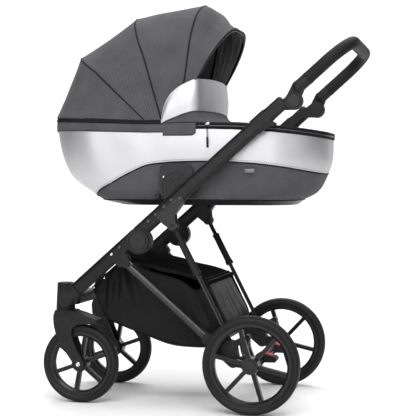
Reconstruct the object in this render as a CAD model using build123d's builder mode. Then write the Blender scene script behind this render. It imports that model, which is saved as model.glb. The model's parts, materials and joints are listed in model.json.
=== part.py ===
"""Baby stroller: folding frame on four wheels with a lift-off carrycot.

Millimetres, +Z up, floor at z = 0. +X points to the push handle, -X is the way it travels,
-Y is its left side. The origin lies on the floor under the middle of the outline.
"""
import math
import os

from build123d import *

os.makedirs("parts", exist_ok=True)

SIDES = (("left", -1), ("right", 1))

# Wheels
REAR_AXLE_X = 200
WHEEL_BASE = 559
REAR_WHEEL_D = 295
REAR_TRACK = 545
REAR_TYRE_W = 44
FRONT_WHEEL_D = 245
FRONT_TRACK = 372
FRONT_TYRE_W = 38
TYRE_DEPTH = 24
RIM_DEPTH = 14
SPOKES = 6
SPOKE_W = 13
AXLE_R = 6

# Side view of the folding frame: hinge, leg pivot, stay pivots, handle pivot
HINGE_X, HINGE_Z = -153, 510
TUBE_ANGLE = 41.4
LEG_X, LEG_Z = -198, 442
STAY_TOP_X, STAY_TOP_Z = -47.8, 558.3
STAY_FOOT_X, STAY_FOOT_Z = 135, 200
LEG_ANGLE = 40.8
HANDLE_T = 633
SWIVEL_X = -409

# Tubes
TUBE_Y = 235
TUBE_W = 26
TUBE_H = 44
TUBE_WALL = 2
TUBE_RISE = 20
TUBE_END = 46
LOWER_TUBE_LEN = 244
MAIN_TUBE_END = 556
LEG_D = 25
LEG_Y = 234

# Fits
FIT = 0.06
GAP = 0.3

# Carrycot and hood
COT_W = 410
COT_RIM_Z = 864
CLOTH = 3.5
TUB_WALL = 3
HOOD_X, HOOD_Z = -62, 868
HOOD_W = 408
HOOD_CLOTH = 2.5
HOOD_START = 30

UX = math.cos(math.radians(TUBE_ANGLE))
UZ = math.sin(math.radians(TUBE_ANGLE))
FRONT_AXLE_X = REAR_AXLE_X - WHEEL_BASE
REAR_Z = REAR_WHEEL_D / 2
FRONT_Z = FRONT_WHEEL_D / 2
REAR_Y = REAR_TRACK / 2
FRONT_Y = FRONT_TRACK / 2


def on_tube(t, n):
    """Side-view point t along the tubes from the fold hinge and n above it."""
    return (HINGE_X + t * UX - n * UZ, HINGE_Z + t * UZ + n * UX)


def lane(side, inner, outer):
    """Side-view sketch plane at the +Y face of a slice between two distances from the middle."""
    return Plane(origin=(0, max(side * inner, side * outer), 0), x_dir=(1, 0, 0), z_dir=(0, -1, 0))


def tube_plane(side, t):
    """Plane across the oval tube of one side; local y points up across the tube."""
    x, z = on_tube(t, TUBE_RISE)
    return Plane(origin=(x, side * TUBE_Y, z), x_dir=(0, 1, 0), z_dir=(UX, 0, UZ))


def rod_plane(x, y, z, angle):
    """Plane across a rod that leaves a point in the side view, falling to the rear at an angle."""
    dx, dz = math.cos(math.radians(angle)), -math.sin(math.radians(angle))
    return Plane(origin=(x, y, z), x_dir=(0, 1, 0), z_dir=(dx, 0, dz))


def along(x, z, angle, d):
    """Side-view point at a distance along a line that falls to the rear."""
    return (x + d * math.cos(math.radians(angle)), z - d * math.sin(math.radians(angle)))


# Oval tubes
for name, side in SIDES:
    with BuildPart() as lower_tube:
        with BuildSketch(tube_plane(side, -TUBE_END)):
            SlotOverall(TUBE_H, TUBE_W, rotation=90)
            SlotOverall(TUBE_H - 2 * TUBE_WALL, TUBE_W - 2 * TUBE_WALL, rotation=90, mode=Mode.SUBTRACT)
        extrude(amount=-LOWER_TUBE_LEN)
    lower_tube.part.label = f"lower_tube_{name}"
    export_step(lower_tube.part, f"parts/lower_tube_{name}.step")

    with BuildPart() as main_tube:
        with BuildSketch(tube_plane(side, TUBE_END)):
            SlotOverall(TUBE_H, TUBE_W, rotation=90)
            SlotOverall(TUBE_H - 2 * TUBE_WALL, TUBE_W - 2 * TUBE_WALL, rotation=90, mode=Mode.SUBTRACT)
        extrude(amount=MAIN_TUBE_END - TUBE_END)
    main_tube.part.label = f"main_tube_{name}"
    export_step(main_tube.part, f"parts/main_tube_{name}.step")

# Fold hinge: two cheeks on the lower tube, one disc between them on the push tube, round cover with pin
HINGE_R = 40
CHEEK_OUT_Y = 250
KNUCKLE_IN, KNUCKLE_OUT = 230, 242
PIN_R = 8
NECK = 34
PLUG_LEN = 30
PLUG_H = TUBE_H - 2 * TUBE_WALL - 2 * GAP
PLUG_W = TUBE_W - 2 * TUBE_WALL - 2 * GAP
TUBE_IN = TUBE_Y - TUBE_W / 2
COVER_R = 33
COVER_T = 8
COVER_RING = 4

with BuildPart() as hinge_bases:
    for _, side in SIDES:
        for inner, outer in ((TUBE_IN, KNUCKLE_IN - GAP), (KNUCKLE_OUT + GAP, CHEEK_OUT_Y)):
            with BuildSketch(lane(side, inner, outer)):
                with Locations((HINGE_X, HINGE_Z)):
                    Circle(HINGE_R)
            extrude(amount=outer - inner)
        with BuildSketch(tube_plane(side, -TUBE_END)):
            SlotOverall(TUBE_H, TUBE_W, rotation=90)
        extrude(amount=NECK)
        with BuildSketch(tube_plane(side, -TUBE_END)):
            SlotOverall(PLUG_H, PLUG_W, rotation=90)
        extrude(amount=-PLUG_LEN)
        with BuildSketch(lane(side, KNUCKLE_IN - GAP, KNUCKLE_OUT + GAP)):
            with Locations((HINGE_X, HINGE_Z)):
                Circle(HINGE_R + 2 * GAP)
        extrude(amount=KNUCKLE_OUT - KNUCKLE_IN + 2 * GAP, mode=Mode.SUBTRACT)
        with BuildSketch(lane(side, TUBE_IN, CHEEK_OUT_Y)):
            with Locations((HINGE_X, HINGE_Z)):
                Circle(PIN_R + FIT)
        extrude(amount=CHEEK_OUT_Y - TUBE_IN, mode=Mode.SUBTRACT)
hinge_bases.part.label = "hinge_bases"
export_step(hinge_bases.part, "parts/hinge_bases.step")

with BuildPart() as hinge_knuckles:
    for _, side in SIDES:
        with BuildSketch(tube_plane(side, TUBE_END)):
            SlotOverall(TUBE_H, TUBE_W, rotation=90)
        extrude(amount=-NECK)
        for inner, outer in ((TUBE_IN - 1, KNUCKLE_IN), (KNUCKLE_OUT, CHEEK_OUT_Y)):
            with BuildSketch(lane(side, inner, outer)):
                with Locations((HINGE_X, HINGE_Z)):
                    Circle(HINGE_R + 2 * GAP)
            extrude(amount=outer - inner, mode=Mode.SUBTRACT)
        with BuildSketch(lane(side, KNUCKLE_IN, KNUCKLE_OUT)):
            with Locations((HINGE_X, HINGE_Z)):
                Circle(HINGE_R)
        extrude(amount=KNUCKLE_OUT - KNUCKLE_IN)
        with BuildSketch(tube_plane(side, TUBE_END)):
            SlotOverall(PLUG_H, PLUG_W, rotation=90)
        extrude(amount=PLUG_LEN)
        with BuildSketch(lane(side, KNUCKLE_IN, KNUCKLE_OUT)):
            with Locations((HINGE_X, HINGE_Z)):
                Circle(PIN_R + FIT)
        extrude(amount=KNUCKLE_OUT - KNUCKLE_IN, mode=Mode.SUBTRACT)
hinge_knuckles.part.label = "hinge_knuckles"
export_step(hinge_knuckles.part, "parts/hinge_knuckles.step")

with BuildPart() as hinge_covers:
    for _, side in SIDES:
        cover_in = CHEEK_OUT_Y + GAP
        with BuildSketch(lane(side, cover_in, cover_in + COVER_T)):
            with Locations((HINGE_X, HINGE_Z)):
                Circle(COVER_R)
        extrude(amount=COVER_T)
        with BuildSketch(lane(side, cover_in + COVER_T / 2, cover_in + COVER_T)):
            with Locations((HINGE_X, HINGE_Z)):
                Circle(COVER_R - COVER_RING)
                Circle(COVER_R - 2 * COVER_RING, mode=Mode.SUBTRACT)
        extrude(amount=COVER_T / 2, mode=Mode.SUBTRACT)
        with BuildSketch(lane(side, TUBE_IN, cover_in)):
            with Locations((HINGE_X, HINGE_Z)):
                Circle(PIN_R)
        extrude(amount=cover_in - TUBE_IN)
hinge_covers.part.label = "hinge_covers"
export_step(hinge_covers.part, "parts/hinge_covers.step")

# Brackets under the lower tubes that carry the rear legs
LEG_EYE_R = 12.5
LEG_EYE_IN, LEG_EYE_OUT = 228, 240
LEG_PIN_R = 5
BRACKET_R = 14
BRACKET_IN, BRACKET_OUT = 221, 247
SADDLE_T0, SADDLE_T1 = -104, -56
SADDLE_TOP = 8

with BuildPart() as leg_brackets:
    for _, side in SIDES:
        with BuildSketch(lane(side, BRACKET_IN, BRACKET_OUT)):
            with BuildLine():
                Polyline(
                    on_tube(SADDLE_T0, SADDLE_TOP),
                    on_tube(SADDLE_T1, SADDLE_TOP),
                    on_tube(SADDLE_T1 - 4, -22),
                    on_tube(SADDLE_T0 + 4, -22),
                    close=True,
                )
            make_face()
            with Locations((LEG_X, LEG_Z)):
                Circle(BRACKET_R)
        extrude(amount=BRACKET_OUT - BRACKET_IN)
        with BuildSketch(tube_plane(side, SADDLE_T0 - 5)):
            SlotOverall(TUBE_H + 2 * GAP, TUBE_W + 2 * GAP, rotation=90)
        extrude(amount=SADDLE_T1 - SADDLE_T0 + 10, mode=Mode.SUBTRACT)
        with BuildSketch(lane(side, LEG_EYE_IN - GAP, LEG_EYE_OUT + GAP)):
            with Locations((LEG_X, LEG_Z)):
                Circle(LEG_EYE_R + 1)
            with BuildLine():
                Polyline(
                    on_tube(SADDLE_T0 - 5, -8),
                    on_tube(SADDLE_T1 + 5, -8),
                    on_tube(SADDLE_T1 + 5, -40),
                    on_tube(SADDLE_T0 - 5, -40),
                    close=True,
                )
            make_face()
        extrude(amount=LEG_EYE_OUT - LEG_EYE_IN + 2 * GAP, mode=Mode.SUBTRACT)
        with BuildSketch(lane(side, BRACKET_IN, BRACKET_OUT)):
            with Locations((LEG_X, LEG_Z)):
                Circle(LEG_PIN_R)
        extrude(amount=BRACKET_OUT - BRACKET_IN)
leg_brackets.part.label = "leg_brackets"
export_step(leg_brackets.part, "parts/leg_brackets.step")

# Swivel housings: upright barrels inboard of the tube ends, joined to them by round sockets
BARREL_R = 28
BARREL_LOW, BARREL_TOP = 291, 376
BARREL_ROUND = 6
STEM_R = 8
STEM_TOP = 345
SOCKET_WALL = 3.5
SOCKET_OUT = TUBE_Y + TUBE_W / 2 + SOCKET_WALL
SOCKET_T0, SOCKET_T1 = -296, -252
LUG_R = 24
socket_x, socket_z = on_tube(SOCKET_T0, TUBE_RISE)

with BuildPart() as swivel_housings:
    for _, side in SIDES:
        with BuildSketch(Plane(origin=(SWIVEL_X, side * FRONT_Y, 0), x_dir=(1, 0, 0), z_dir=(0, -1, 0))):
            with BuildLine():
                Polyline(
                    (BARREL_R - 2 - BARREL_ROUND, BARREL_TOP),
                    (0, BARREL_TOP),
                    (0, BARREL_LOW),
                    (BARREL_R + 2, BARREL_LOW),
                    (BARREL_R - 2, BARREL_TOP - BARREL_ROUND),
                )
                RadiusArc(
                    (BARREL_R - 2, BARREL_TOP - BARREL_ROUND),
                    (BARREL_R - 2 - BARREL_ROUND, BARREL_TOP),
                    -BARREL_ROUND,
                )
            make_face()
        revolve(axis=Axis((SWIVEL_X, side * FRONT_Y, 0), (0, 0, 1)))
        with BuildSketch(lane(side, FRONT_Y, SOCKET_OUT)):
            with Locations((socket_x - 2, socket_z)):
                Circle(LUG_R)
        extrude(amount=SOCKET_OUT - FRONT_Y)
        with BuildSketch(tube_plane(side, SOCKET_T0)):
            SlotOverall(TUBE_H + 2 * SOCKET_WALL, TUBE_W + 2 * SOCKET_WALL, rotation=90)
        extrude(amount=SOCKET_T1 - SOCKET_T0)
        with BuildSketch(tube_plane(side, -TUBE_END)):
            SlotOverall(TUBE_H + 2 * FIT, TUBE_W + 2 * FIT, rotation=90)
        extrude(amount=-LOWER_TUBE_LEN - FIT, mode=Mode.SUBTRACT)
        with BuildSketch(Plane.XY.offset(BARREL_LOW)):
            with Locations((SWIVEL_X, side * FRONT_Y)):
                Circle(STEM_R + FIT)
        extrude(amount=STEM_TOP - BARREL_LOW + GAP, mode=Mode.SUBTRACT)
swivel_housings.part.label = "swivel_housings"
export_step(swivel_housings.part, "parts/swivel_housings.step")

# Crossbar between the housings, with a rounded top
CROSSBAR_X, CROSSBAR_Z = -388, 322
CROSSBAR_W, CROSSBAR_H = 40, 36
CROSSBAR_HALF = FRONT_Y - 22

with BuildPart() as front_crossbar:
    with BuildSketch(lane(1, -CROSSBAR_HALF, CROSSBAR_HALF)):
        with Locations((CROSSBAR_X, CROSSBAR_Z)):
            RectangleRounded(CROSSBAR_W, CROSSBAR_H, 12)
    extrude(amount=2 * CROSSBAR_HALF)
    for _, side in SIDES:
        with BuildSketch(Plane.XY.offset(BARREL_LOW - 5)):
            with Locations((SWIVEL_X, side * FRONT_Y)):
                Circle(BARREL_R + 2 + GAP)
        extrude(amount=BARREL_TOP - BARREL_LOW, mode=Mode.SUBTRACT)
front_crossbar.part.label = "front_crossbar"
export_step(front_crossbar.part, "parts/front_crossbar.step")

# Front forks: crown over the wheel, a beak to the rear, two legs to the axle, stem into the housing
FORK_IN, FORK_OUT = 156, 216
FORK_LEG_T = 7
FORK_TYRE_GAP = 6
CROWN_TOP = BARREL_LOW - 1
FORK_EYE_R = 19

for name, side in SIDES:
    with BuildPart() as fork:
        with BuildSketch(lane(side, FORK_IN, FORK_OUT)):
            with BuildLine():
                Polyline((-372, 286), (-378, CROWN_TOP), (-434, CROWN_TOP), (-440, 274))
                Spline((-440, 274), (-440, 255), (-432, 216), (-414, 180), (FRONT_AXLE_X - 18, FRONT_Z + 4))
                Line((FRONT_AXLE_X - 18, FRONT_Z + 4), (FRONT_AXLE_X + 16, FRONT_Z + 8))
                Spline((FRONT_AXLE_X + 16, FRONT_Z + 8), (-364, 167), (-380, 208), (-379, 230), (-364, 243))
                Spline((-364, 243), (-350, 247), (-318, 248), (-297, 252))
                Line((-297, 252), (-301, 261))
                Spline((-301, 261), (-336, 275), (-372, 286))
            make_face()
            with Locations((FRONT_AXLE_X, FRONT_Z)):
                Circle(FORK_EYE_R)
        extrude(amount=FORK_OUT - FORK_IN)
        with BuildSketch(lane(side, FORK_IN + FORK_LEG_T, FORK_OUT - FORK_LEG_T)):
            with Locations((FRONT_AXLE_X, FRONT_Z)):
                Circle(FRONT_Z + FORK_TYRE_GAP)
        extrude(amount=FORK_OUT - FORK_IN - 2 * FORK_LEG_T, mode=Mode.SUBTRACT)
        with BuildSketch(lane(side, FORK_IN + 2, FORK_OUT - 2)):
            with Locations((FRONT_AXLE_X, FRONT_Z)):
                Circle(AXLE_R)
        extrude(amount=FORK_OUT - FORK_IN - 4)
        with BuildSketch(Plane.XY.offset(CROWN_TOP - 10)):
            with Locations((SWIVEL_X, side * FRONT_Y)):
                Circle(STEM_R)
        extrude(amount=STEM_TOP - CROWN_TOP + 10)
    fork.part.label = f"fork_{name}"
    export_step(fork.part, f"parts/fork_{name}.step")


# Wheels: rubber tyre on a rim with six double-ridged spokes
HUB_R = 25
HUB_CAP_R = 17
HUB_CAP_T = 3
SPOKE_T = 16
RIDGE_W = 4
RIDGE_DEPTH = 4
TREAD_GROOVE = 1.6

for wheel, wheel_x, wheel_y, radius, tyre_w, first_spoke, blind in (
    ("front", FRONT_AXLE_X, FRONT_Y, FRONT_Z, FRONT_TYRE_W, 20, False),
    ("rear", REAR_AXLE_X, REAR_Y, REAR_Z, REAR_TYRE_W, 47, True),
):
    bead = radius - TYRE_DEPTH
    half = tyre_w / 2
    hub_half = half - 1
    for name, side in SIDES:
        spin = Axis((wheel_x, side * wheel_y, radius), (0, 1, 0))
        across = Plane(origin=(wheel_x, side * wheel_y, radius), x_dir=(0, 1, 0), z_dir=(1, 0, 0))
        with BuildPart() as tyre:
            with BuildSketch(across):
                with BuildLine():
                    Polyline((-half, bead + 9), (-half * 0.72, bead), (half * 0.72, bead), (half, bead + 9))
                    ThreePointArc((half, bead + 9), (half * 0.95, radius - 8), (half * 0.72, radius - 3))
                    ThreePointArc((half * 0.72, radius - 3), (0, radius), (-half * 0.72, radius - 3))
                    ThreePointArc((-half * 0.72, radius - 3), (-half * 0.95, radius - 8), (-half, bead + 9))
                make_face()
                for groove in (-half * 0.86, half * 0.86):
                    with Locations((groove, radius - 5.5)):
                        Circle(TREAD_GROOVE, mode=Mode.SUBTRACT)
            revolve(axis=spin)
        tyre.part.label = f"{wheel}_tyre_{name}"
        export_step(tyre.part, f"parts/{wheel}_tyre_{name}.step")

        with BuildPart() as rim:
            with BuildSketch(across):
                with BuildLine():
                    Polyline(
                        (-half * 0.62, bead - GAP / 2),
                        (half * 0.62, bead - GAP / 2),
                        (half * 0.62, bead - RIM_DEPTH * 0.55),
                        (half * 0.36, bead - RIM_DEPTH),
                        (-half * 0.36, bead - RIM_DEPTH),
                        (-half * 0.62, bead - RIM_DEPTH * 0.55),
                        close=True,
                    )
                make_face()
            revolve(axis=spin)
            with BuildSketch(lane(side, wheel_y - hub_half, wheel_y + hub_half)):
                with Locations((wheel_x, radius)):
                    Circle(HUB_R)
            extrude(amount=2 * hub_half)
            spoke_mid = (HUB_R + bead - RIM_DEPTH) / 2
            spoke_len = bead - RIM_DEPTH - HUB_R + 12
            with BuildSketch(lane(side, wheel_y - SPOKE_T / 2, wheel_y + SPOKE_T / 2)):
                with Locations((wheel_x, radius)):
                    with PolarLocations(spoke_mid, SPOKES, start_angle=first_spoke):
                        Rectangle(spoke_len, SPOKE_W)
            extrude(amount=SPOKE_T)
            for face_in, face_out in (
                (SPOKE_T / 2 - RIDGE_DEPTH, SPOKE_T / 2),
                (-SPOKE_T / 2, -SPOKE_T / 2 + RIDGE_DEPTH),
            ):
                with BuildSketch(lane(side, wheel_y + face_in, wheel_y + face_out)):
                    with Locations((wheel_x, radius)):
                        with PolarLocations(spoke_mid, SPOKES, start_angle=first_spoke):
                            SlotOverall(spoke_len - 18, RIDGE_W)
                extrude(amount=RIDGE_DEPTH, mode=Mode.SUBTRACT)
            with BuildSketch(lane(side, wheel_y + hub_half, wheel_y + hub_half + HUB_CAP_T)):
                with Locations((wheel_x, radius)):
                    Circle(HUB_CAP_R)
            extrude(amount=HUB_CAP_T)
            bore_out = hub_half - 2 if blind else hub_half + HUB_CAP_T
            with BuildSketch(lane(side, wheel_y - hub_half, wheel_y + bore_out)):
                with Locations((wheel_x, radius)):
                    Circle(AXLE_R + FIT)
            extrude(amount=hub_half + bore_out, mode=Mode.SUBTRACT)
        rim.part.label = f"{wheel}_rim_{name}"
        export_step(rim.part, f"parts/{wheel}_rim_{name}.step")

# Rear legs: round tubes from the brackets down into the end housings
LEG_SHAFT_START = 19
LEG_SHAFT_END = 392
HOUSING_IN, HOUSING_OUT = 220, 248
ARM_PIVOT_X, ARM_PIVOT_Z = 140, 152
ARM_PIN_R = 6
SPRING_X = 176
SPRING_LOW, SPRING_TOP = REAR_Z + 20.5, 205
ARM_IN, ARM_OUT = 227, 241
STAY_EYE_R = 10
STAY_IN, STAY_OUT = 228, 240
STAY_PLAY = 10.5

for name, side in SIDES:
    with BuildPart() as rear_leg:
        start_x, start_z = along(LEG_X, LEG_Z, LEG_ANGLE, LEG_SHAFT_START)
        with BuildSketch(rod_plane(start_x, side * LEG_Y, start_z, LEG_ANGLE)):
            Circle(LEG_D / 2)
        extrude(amount=LEG_SHAFT_END - LEG_SHAFT_START)
        with BuildSketch(rod_plane(start_x, side * LEG_Y, start_z, LEG_ANGLE).offset(10)):
            Circle(LEG_D / 2 - TUBE_WALL)
        extrude(amount=LEG_SHAFT_END - LEG_SHAFT_START - 10, mode=Mode.SUBTRACT)
        with BuildSketch(lane(side, LEG_EYE_IN, LEG_EYE_OUT)):
            with Locations((LEG_X, LEG_Z)):
                Circle(LEG_EYE_R)
            with BuildLine():
                Polyline(
                    (LEG_X - 8, LEG_Z - 9),
                    (LEG_X + 8, LEG_Z + 9),
                    (start_x + 14, start_z + 2),
                    (start_x + 2, start_z - 12),
                    close=True,
                )
            make_face()
            with Locations((LEG_X, LEG_Z)):
                Circle(LEG_PIN_R + FIT, mode=Mode.SUBTRACT)
        extrude(amount=LEG_EYE_OUT - LEG_EYE_IN)
    rear_leg.part.label = f"rear_leg_{name}"
    export_step(rear_leg.part, f"parts/rear_leg_{name}.step")

with BuildPart() as rear_housings:
    for _, side in SIDES:
        with BuildSketch(lane(side, HOUSING_IN, HOUSING_OUT)):
            with BuildSketch(mode=Mode.PRIVATE) as outline:
                with Locations(along(LEG_X, LEG_Z, LEG_ANGLE, LEG_SHAFT_END - 50)):
                    Circle(17)
                with Locations((ARM_PIVOT_X, ARM_PIVOT_Z)):
                    Circle(18)
                with Locations((STAY_FOOT_X, STAY_FOOT_Z)):
                    Circle(15)
            make_hull(outline.sketch.edges())
            with BuildSketch(mode=Mode.PRIVATE) as roof:
                with Locations((STAY_FOOT_X + 8, STAY_FOOT_Z + 4)):
                    Circle(10)
                with Locations((SPRING_X + 6, SPRING_TOP + 20)):
                    Circle(9)
            make_hull(roof.sketch.edges())
            with Locations((SPRING_X, SPRING_TOP + GAP + 5)):
                Rectangle(24, 10)
        extrude(amount=HOUSING_OUT - HOUSING_IN)
        seat_plane = rod_plane(LEG_X, side * LEG_Y, LEG_Z, LEG_ANGLE)
        with BuildSketch(seat_plane):
            Circle(LEG_D / 2 + FIT)
        extrude(amount=LEG_SHAFT_END + FIT, mode=Mode.SUBTRACT)
        with BuildSketch(lane(side, ARM_IN - GAP, ARM_OUT + GAP)):
            with Locations((ARM_PIVOT_X, ARM_PIVOT_Z)):
                Circle(17)
            with BuildLine():
                Polyline(
                    (ARM_PIVOT_X - 2, ARM_PIVOT_Z - 17),
                    (ARM_PIVOT_X + 4, ARM_PIVOT_Z + 17),
                    (ARM_PIVOT_X + 40, ARM_PIVOT_Z + 20),
                    (ARM_PIVOT_X + 40, ARM_PIVOT_Z - 30),
                    close=True,
                )
            make_face()
        extrude(amount=ARM_OUT - ARM_IN + 2 * GAP, mode=Mode.SUBTRACT)
        with BuildSketch(lane(side, HOUSING_IN, HOUSING_OUT)):
            with Locations((ARM_PIVOT_X, ARM_PIVOT_Z)):
                Circle(ARM_PIN_R)
        extrude(amount=HOUSING_OUT - HOUSING_IN)
        with BuildSketch(lane(side, STAY_IN - 1, STAY_OUT + 1)):
            with Locations((STAY_FOOT_X, STAY_FOOT_Z)):
                Circle(STAY_EYE_R + STAY_PLAY)
            with BuildLine():
                Polyline(
                    (STAY_FOOT_X - 30, STAY_FOOT_Z - 9),
                    (STAY_FOOT_X + STAY_EYE_R + STAY_PLAY, STAY_FOOT_Z - 2),
                    (STAY_FOOT_X + 14, STAY_FOOT_Z + 40),
                    (STAY_FOOT_X - 46, STAY_FOOT_Z + 40),
                    close=True,
                )
            make_face()
        extrude(amount=STAY_OUT - STAY_IN + 2, mode=Mode.SUBTRACT)
rear_housings.part.label = "rear_housings"
export_step(rear_housings.part, "parts/rear_housings.step")

# Suspension: swing arms under coil springs carry the axle
ARM_R = 15
BOSS_R = 20
AXLE_TUBE_R = 11
AXLE_END_Y = REAR_Y + REAR_TYRE_W / 2 - 3.5
SEAT_T = 6

with BuildPart() as swing_arms:
    for _, side in SIDES:
        with BuildSketch(lane(side, ARM_IN, ARM_OUT)):
            with BuildSketch(mode=Mode.PRIVATE) as arm:
                with Locations((ARM_PIVOT_X, ARM_PIVOT_Z)):
                    Circle(ARM_R)
                with Locations((REAR_AXLE_X, REAR_Z)):
                    Circle(BOSS_R)
            make_hull(arm.sketch.edges())
            with Locations((SPRING_X, SPRING_LOW - GAP - SEAT_T)):
                Rectangle(22, 2 * SEAT_T)
            with Locations((ARM_PIVOT_X, ARM_PIVOT_Z)):
                Circle(ARM_PIN_R + FIT, mode=Mode.SUBTRACT)
            with Locations((REAR_AXLE_X, REAR_Z)):
                Circle(AXLE_R + FIT, mode=Mode.SUBTRACT)
        extrude(amount=ARM_OUT - ARM_IN)
swing_arms.part.label = "swing_arms"
export_step(swing_arms.part, "parts/swing_arms.step")

with BuildPart() as rear_axle:
    with BuildSketch(lane(1, -AXLE_END_Y, AXLE_END_Y)):
        with Locations((REAR_AXLE_X, REAR_Z)):
            Circle(AXLE_R)
    extrude(amount=2 * AXLE_END_Y)
    tube_half = ARM_IN - GAP
    with BuildSketch(lane(1, -tube_half, tube_half)):
        with Locations((REAR_AXLE_X, REAR_Z)):
            Circle(AXLE_TUBE_R)
    extrude(amount=2 * tube_half)
rear_axle.part.label = "rear_axle"
export_step(rear_axle.part, "parts/rear_axle.step")

SPRING_R = 9
WIRE_R = 1.7
SPRING_PITCH = 7

with BuildPart() as rear_springs:
    for _, side in SIDES:
        with BuildLine(Plane(origin=(SPRING_X, side * LEG_Y, SPRING_LOW + WIRE_R))):
            Helix(pitch=SPRING_PITCH, height=SPRING_TOP - SPRING_LOW - 2 * WIRE_R, radius=SPRING_R)
        coil_plane = Plane(
            origin=(SPRING_X + SPRING_R, side * LEG_Y, SPRING_LOW + WIRE_R), x_dir=(1, 0, 0), z_dir=(0, 1, 0)
        )
        with BuildSketch(coil_plane):
            Circle(WIRE_R)
        sweep(is_frenet=True)
rear_springs.part.label = "rear_springs"
export_step(rear_springs.part, "parts/rear_springs.step")

# Brake: two foot pedals on sleeves that turn on the axle tube, tied by a bar
PEDAL_Y = 105
PEDAL_W = 46
PEDAL_LEN = 52
SLEEVE_R = 17
BRAKE_BAR_R = 4

with BuildPart() as brake_pedals:
    for _, side in SIDES:
        inner, outer = PEDAL_Y - PEDAL_W / 2, PEDAL_Y + PEDAL_W / 2
        with BuildSketch(lane(side, inner, outer)):
            with BuildLine():
                Polyline(
                    (REAR_AXLE_X + 4, REAR_Z + SLEEVE_R - 1),
                    (REAR_AXLE_X + PEDAL_LEN - 8, REAR_Z + 6),
                    (REAR_AXLE_X + PEDAL_LEN, REAR_Z - 2),
                    (REAR_AXLE_X + PEDAL_LEN - 6, REAR_Z - 12),
                    (REAR_AXLE_X + 10, REAR_Z - 12),
                    close=True,
                )
            make_face()
            fillet(vertices().filter_by(lambda v: v.X > REAR_AXLE_X + 30), radius=4)
            with Locations((REAR_AXLE_X, REAR_Z)):
                Circle(SLEEVE_R)
                Circle(AXLE_TUBE_R + FIT, mode=Mode.SUBTRACT)
        extrude(amount=PEDAL_W)
    with BuildSketch(lane(1, -PEDAL_Y, PEDAL_Y)):
        with Locations((REAR_AXLE_X - SLEEVE_R + 1, REAR_Z)):
            Circle(BRAKE_BAR_R)
    extrude(amount=2 * PEDAL_Y)
brake_pedals.part.label = "brake_pedals"
export_step(brake_pedals.part, "parts/brake_pedals.step")

# Stays: rod end pinned in a bracket under each push tube, sleeve, thin rod to the rear housing
STAY_TOP_R = 12
STAY_PIN_R = 5
STAY_ROD_R = 6.5
STAY_NECK_R = 7
SLEEVE_FROM, SLEEVE_TO = 53, 167
STAY_SLEEVE_R = 11
STAY_COLLAR_R = 13
STAY_BAR_IN, STAY_BAR_OUT = TUBE_IN + GAP, TUBE_Y + TUBE_W / 2 - GAP
PLATE_T = 3.5
stay_dx, stay_dz = STAY_FOOT_X - STAY_TOP_X, STAY_FOOT_Z - STAY_TOP_Z
STAY_LEN = math.hypot(stay_dx, stay_dz)
STAY_ANGLE = math.degrees(math.atan2(-stay_dz, stay_dx))

with BuildPart() as stay_brackets:
    for _, side in SIDES:
        for inner, reach in ((TUBE_IN - PLATE_T, 146), (TUBE_IN + TUBE_W, 194)):
            with BuildSketch(lane(side, inner, inner + PLATE_T)):
                with BuildLine():
                    Polyline(
                        on_tube(92, 16),
                        on_tube(104, 20),
                        on_tube(reach - 8, 20),
                        on_tube(reach, 12),
                        on_tube(reach - 6, -2),
                        on_tube(138, -16),
                        on_tube(124, -34),
                        on_tube(97, -31),
                        on_tube(92, -10),
                        close=True,
                    )
                make_face()
                with Locations((STAY_TOP_X, STAY_TOP_Z)):
                    Circle(STAY_TOP_R + 3)
                    Circle(STAY_PIN_R + FIT, mode=Mode.SUBTRACT)
            extrude(amount=PLATE_T)
        with BuildSketch(lane(side, TUBE_IN, TUBE_IN + TUBE_W)):
            with BuildLine():
                Polyline(on_tube(136, -3), on_tube(182, -3), on_tube(178, -6), on_tube(140, -14), close=True)
            make_face()
        extrude(amount=TUBE_W)
        with BuildSketch(tube_plane(side, 90)):
            SlotOverall(TUBE_H + 2 * FIT, TUBE_W + 2 * FIT, rotation=90)
        extrude(amount=110, mode=Mode.SUBTRACT)
stay_brackets.part.label = "stay_brackets"
export_step(stay_brackets.part, "parts/stay_brackets.step")

with BuildPart() as stay_sleeves:
    for _, side in SIDES:
        with BuildSketch(lane(side, STAY_BAR_IN, STAY_BAR_OUT)):
            with Locations((STAY_TOP_X, STAY_TOP_Z)):
                Circle(STAY_TOP_R)
        extrude(amount=STAY_BAR_OUT - STAY_BAR_IN)
        with BuildSketch(lane(side, TUBE_IN - PLATE_T - 2, TUBE_IN + TUBE_W + PLATE_T + 2)):
            with Locations((STAY_TOP_X, STAY_TOP_Z)):
                Circle(STAY_PIN_R)
        extrude(amount=TUBE_W + 2 * PLATE_T + 4)
        with BuildSketch(rod_plane(STAY_TOP_X, side * LEG_Y, STAY_TOP_Z, STAY_ANGLE)):
            Circle(STAY_NECK_R)
        extrude(amount=SLEEVE_FROM + 5)
        for d, length, radius in (
            (SLEEVE_FROM, SLEEVE_TO - SLEEVE_FROM, STAY_SLEEVE_R),
            (SLEEVE_FROM, 8, STAY_SLEEVE_R + 1),
            (SLEEVE_TO - 14, 14, STAY_COLLAR_R),
        ):
            x, z = along(STAY_TOP_X, STAY_TOP_Z, STAY_ANGLE, d)
            with BuildSketch(rod_plane(x, side * LEG_Y, z, STAY_ANGLE)):
                Circle(radius)
            extrude(amount=length)
        x, z = along(STAY_TOP_X, STAY_TOP_Z, STAY_ANGLE, SLEEVE_FROM + 20)
        with BuildSketch(rod_plane(x, side * LEG_Y, z, STAY_ANGLE)):
            Circle(STAY_ROD_R + FIT)
        extrude(amount=SLEEVE_TO - SLEEVE_FROM, mode=Mode.SUBTRACT)
stay_sleeves.part.label = "stay_sleeves"
export_step(stay_sleeves.part, "parts/stay_sleeves.step")

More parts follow.
